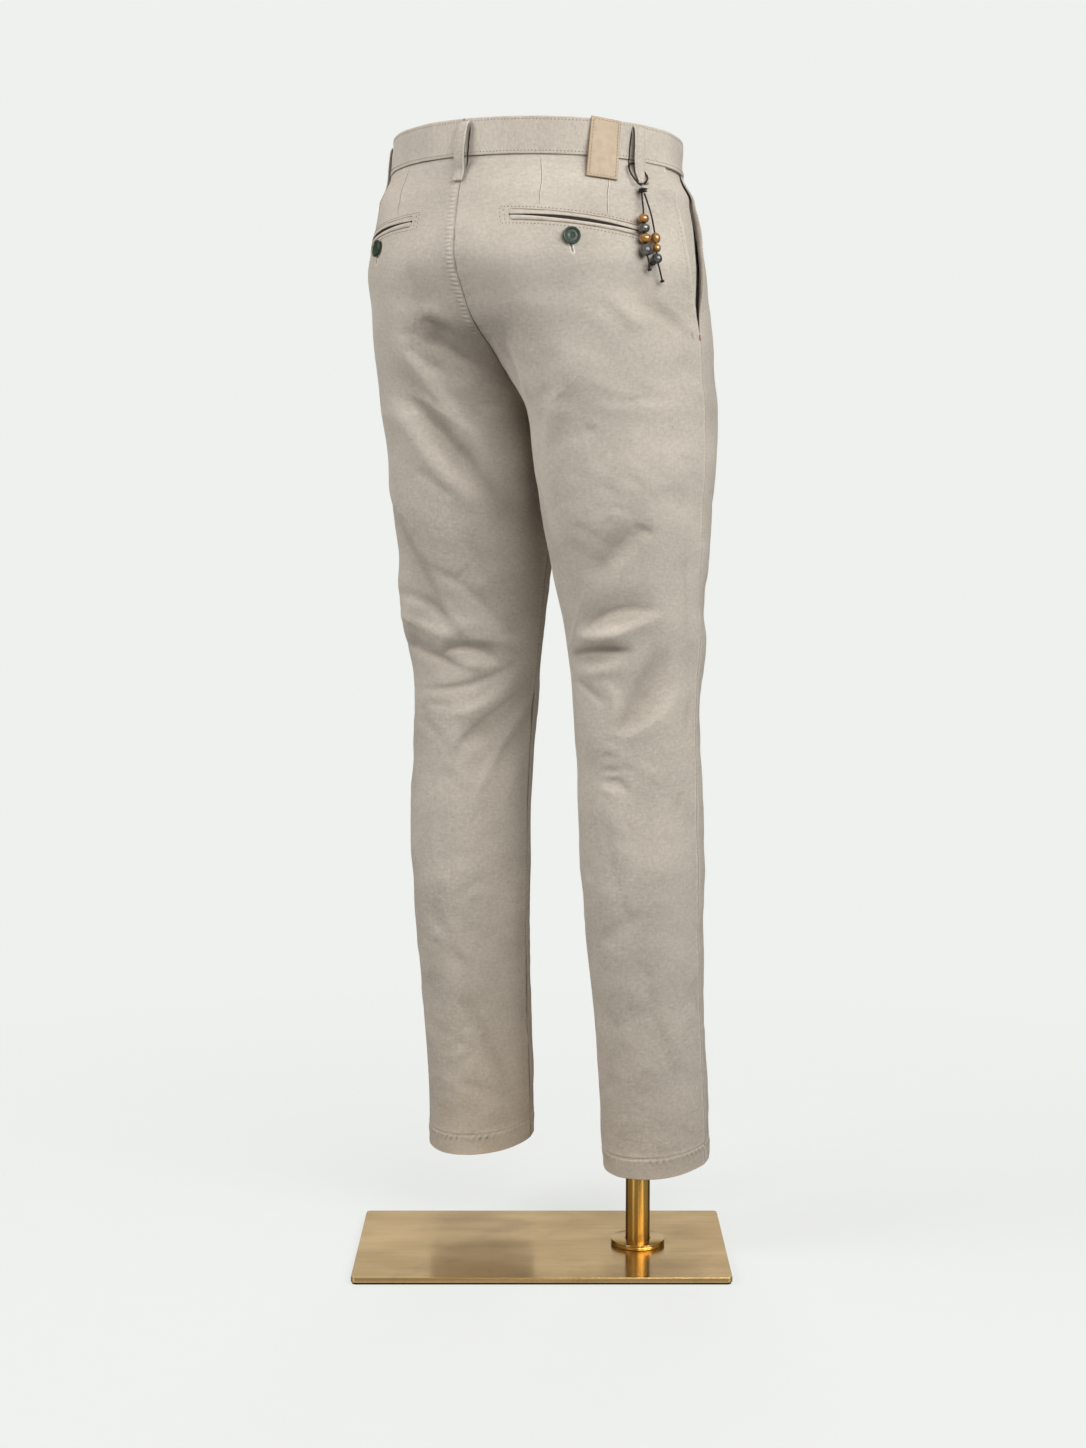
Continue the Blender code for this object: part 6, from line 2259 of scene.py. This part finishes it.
@dataclass
class Studio:
    """The pale floor, the soft lights and the camera."""

    camera_at: Triple = (-1.2016, 1.9205, 0.7415)
    camera_turn: float = 32.0
    camera_down: float = 5.57
    lens: float = 58.67
    sweep: Triple = (0.863, 0.879, 0.855)
    ground: Triple = (0.155, 0.163, 0.170)
    glow: float = 0.755
    light_size: float = 1.2
    boards: tuple[Pair, ...] = (
        (0.001, 0.58), (0.05, 0.58), (0.09, 0.05), (0.30, 0.07), (0.42, 0.30), (0.78, 0.30),
        (0.83, 1.00), (0.87, 0.95), (0.91, 0.26), (0.999, 0.26),
    )

    @staticmethod
    def put(name: str, data: bpy.types.ID, at: Triple, look: Vector) -> Obj:
        """Places a light or camera so that it looks one way.

        Args:
            name: what it is called.
            data: the light or camera.
            at: where it stands, in metres.
            look: the direction in which it looks.

        Returns:
            The object.
        """
        thing = bpy.data.objects.new(name, data)
        thing.location = at
        thing.rotation_euler = look.to_track_quat("-Z", "Y").to_euler()
        bpy.context.scene.collection.objects.link(thing)
        return thing

    def camera(self) -> None:
        """The camera, behind the wearer's right."""
        data = bpy.data.cameras.new("camera")
        data.lens = self.lens
        data.sensor_width = 36.0
        data.sensor_fit = "AUTO"
        data.clip_start = 0.05
        data.clip_end = 60.0
        turn, down = radians(self.camera_turn), radians(self.camera_down)
        level = cos(down)
        look = Vector((sin(turn) * level, -cos(turn) * level, -sin(down)))
        bpy.context.scene.camera = self.put("camera", data, self.camera_at, look)

    def light(self, name: str, at: Triple, power: float, tone: Triple, mirrored: bool) -> None:
        """A square soft light that faces the middle of the trousers.

        Args:
            name: what it is called.
            at: where it stands, in metres.
            power: in watts.
            tone: its colour.
            mirrored: whether polished metal shows it.
        """
        data = bpy.data.lights.new(name, "AREA")
        data.shape, data.size = "SQUARE", self.light_size
        data.energy, data.color = power, tone
        aim = Vector((0.03, -0.04, 0.62)) - Vector(at)
        self.put(name, data, at, aim).visible_glossy = mirrored

    def world(self) -> None:
        """An even pale surround; gloss sees it darker below and to one side."""
        world = bpy.data.worlds.new("studio")
        bpy.context.scene.world = world
        world.use_nodes = True
        graph, nodes = Graph(world.node_tree), world.node_tree.nodes
        ground = graph.feed(nodes["Background"], Color=(*self.sweep, 1.0), Strength=1.0)
        direction = graph.add("TexCoord").outputs["Generated"]
        height = graph.add("SeparateXYZ", {}, Vector=direction).outputs["Z"]
        aside = {"i0": direction, "i1": (-0.53, 0.848, 0.0)}
        flat = graph.add("VectorMath", {"operation": "DOT_PRODUCT"}, **aside).outputs["Value"]
        ramp = graph.add("ValToRGB", {}, Fac=graph.between(flat, -1.0, 1.0, 0.0, 1.0))
        for place, level in self.boards:
            ramp.color_ramp.elements.new(place).color = (level, level, level, 1.0)
        rays = graph.add("LightPath").outputs
        glossy = rays["Is Glossy Ray"]

        def either(share: Socket, low: Socket, high: Socket) -> Socket:
            """low and high mixed by a share."""
            rest = graph.math("MULTIPLY", graph.math("SUBTRACT", 1.0, share), low)
            return graph.math("ADD", rest, graph.math("MULTIPLY", share, high))

        share = graph.between(height, 0.50, 0.75, 0.0, 1.0)
        above = graph.between(height, -0.10, 0.75, 0.55, 0.85)
        mirrored = either(share, graph.math("MULTIPLY", ramp.outputs[0], 1.4), above)
        strength = either(glossy, graph.between(height, -0.35, 0.9, 0.02, 0.30), mirrored)
        tint = graph.mix(glossy, (1.0, 0.75, 0.50), (0.98, 0.98, 0.97))
        surround = graph.add("Background", {}, Color=tint, Strength=strength)
        shown = {"Fac": rays["Is Camera Ray"], "i1": surround.outputs[0], "i2": ground.outputs[0]}
        mixed = graph.add("MixShader", {}, **shown)
        graph.feed(nodes["World Output"], Surface=mixed.outputs[0])

    def floor(self) -> None:
        """A pale floor that runs out into the surround."""
        Maker.clear_selection()
        at = (0, 0, -0.0001)
        bpy.ops.mesh.primitive_circle_add(vertices=96, radius=4.0, fill_type="NGON", location=at)
        floor = bpy.context.object
        floor.name = "floor"
        floor.data.transform(Matrix.Translation(floor.location))
        floor.location = (0, 0, 0)
        material, graph, shader = Finish("pale_floor", self.ground, 0.9).start()
        place = graph.place()
        mottle = graph.between(graph.noise(place, 30.0, 3.0), 0.3, 0.7, 0.0, 1.0)
        colour = graph.mix(mottle, self.ground, tuple(c * 1.02 for c in self.ground))
        seen = graph.add("LightPath").outputs["Is Camera Ray"]
        glow = graph.math("MULTIPLY", seen, self.glow)
        reach = graph.add("VectorMath", {"operation": "LENGTH"}, i0=place).outputs["Value"]
        solid = graph.between(reach, 0.30, 1.30, 1.0, 0.0)
        graph.feed(shader, Base_Color=colour, Specular_IOR_Level=0.1, Alpha=solid)
        graph.feed(shader, Emission_Color=(*self.sweep, 1.0), Emission_Strength=glow)
        floor.data.materials.append(material)
        floor.visible_glossy = False
        floor.select_set(False)

    def build(self) -> None:
        """Sets the room up and the colours' transform."""
        view = bpy.context.scene.view_settings
        view.view_transform = "Standard"
        view.look = "None"
        self.camera()
        self.world()
        self.floor()
        self.light("key", (-1.95, 0.24, 1.68), 32.0, (1.0, 0.99, 0.965), True)
        self.light("fill", (1.39, 1.42, 1.66), 38.5, (1.0, 0.99, 0.975), False)
        self.light("camera_side", (-1.55, 1.19, 1.72), 24.5, (1.0, 0.99, 0.97), True)
        self.light("front", (1.02, -1.72, 1.60), 26.0, (1.0, 1.0, 1.0), False)


def main() -> None:
    """Builds the room and the object."""
    logging.basicConfig(level=logging.INFO, format="%(name)s %(message)s")
    Studio().build()
    finishes = Finishes()
    cloth = Cloth(CREASES)
    Charm(cloth, finishes).build()
    trousers = Trousers(cloth, finishes)
    trousers.build()
    Trims(trousers, finishes).build()
    Stand(finishes).build()


if __name__ == "__main__":
    main()
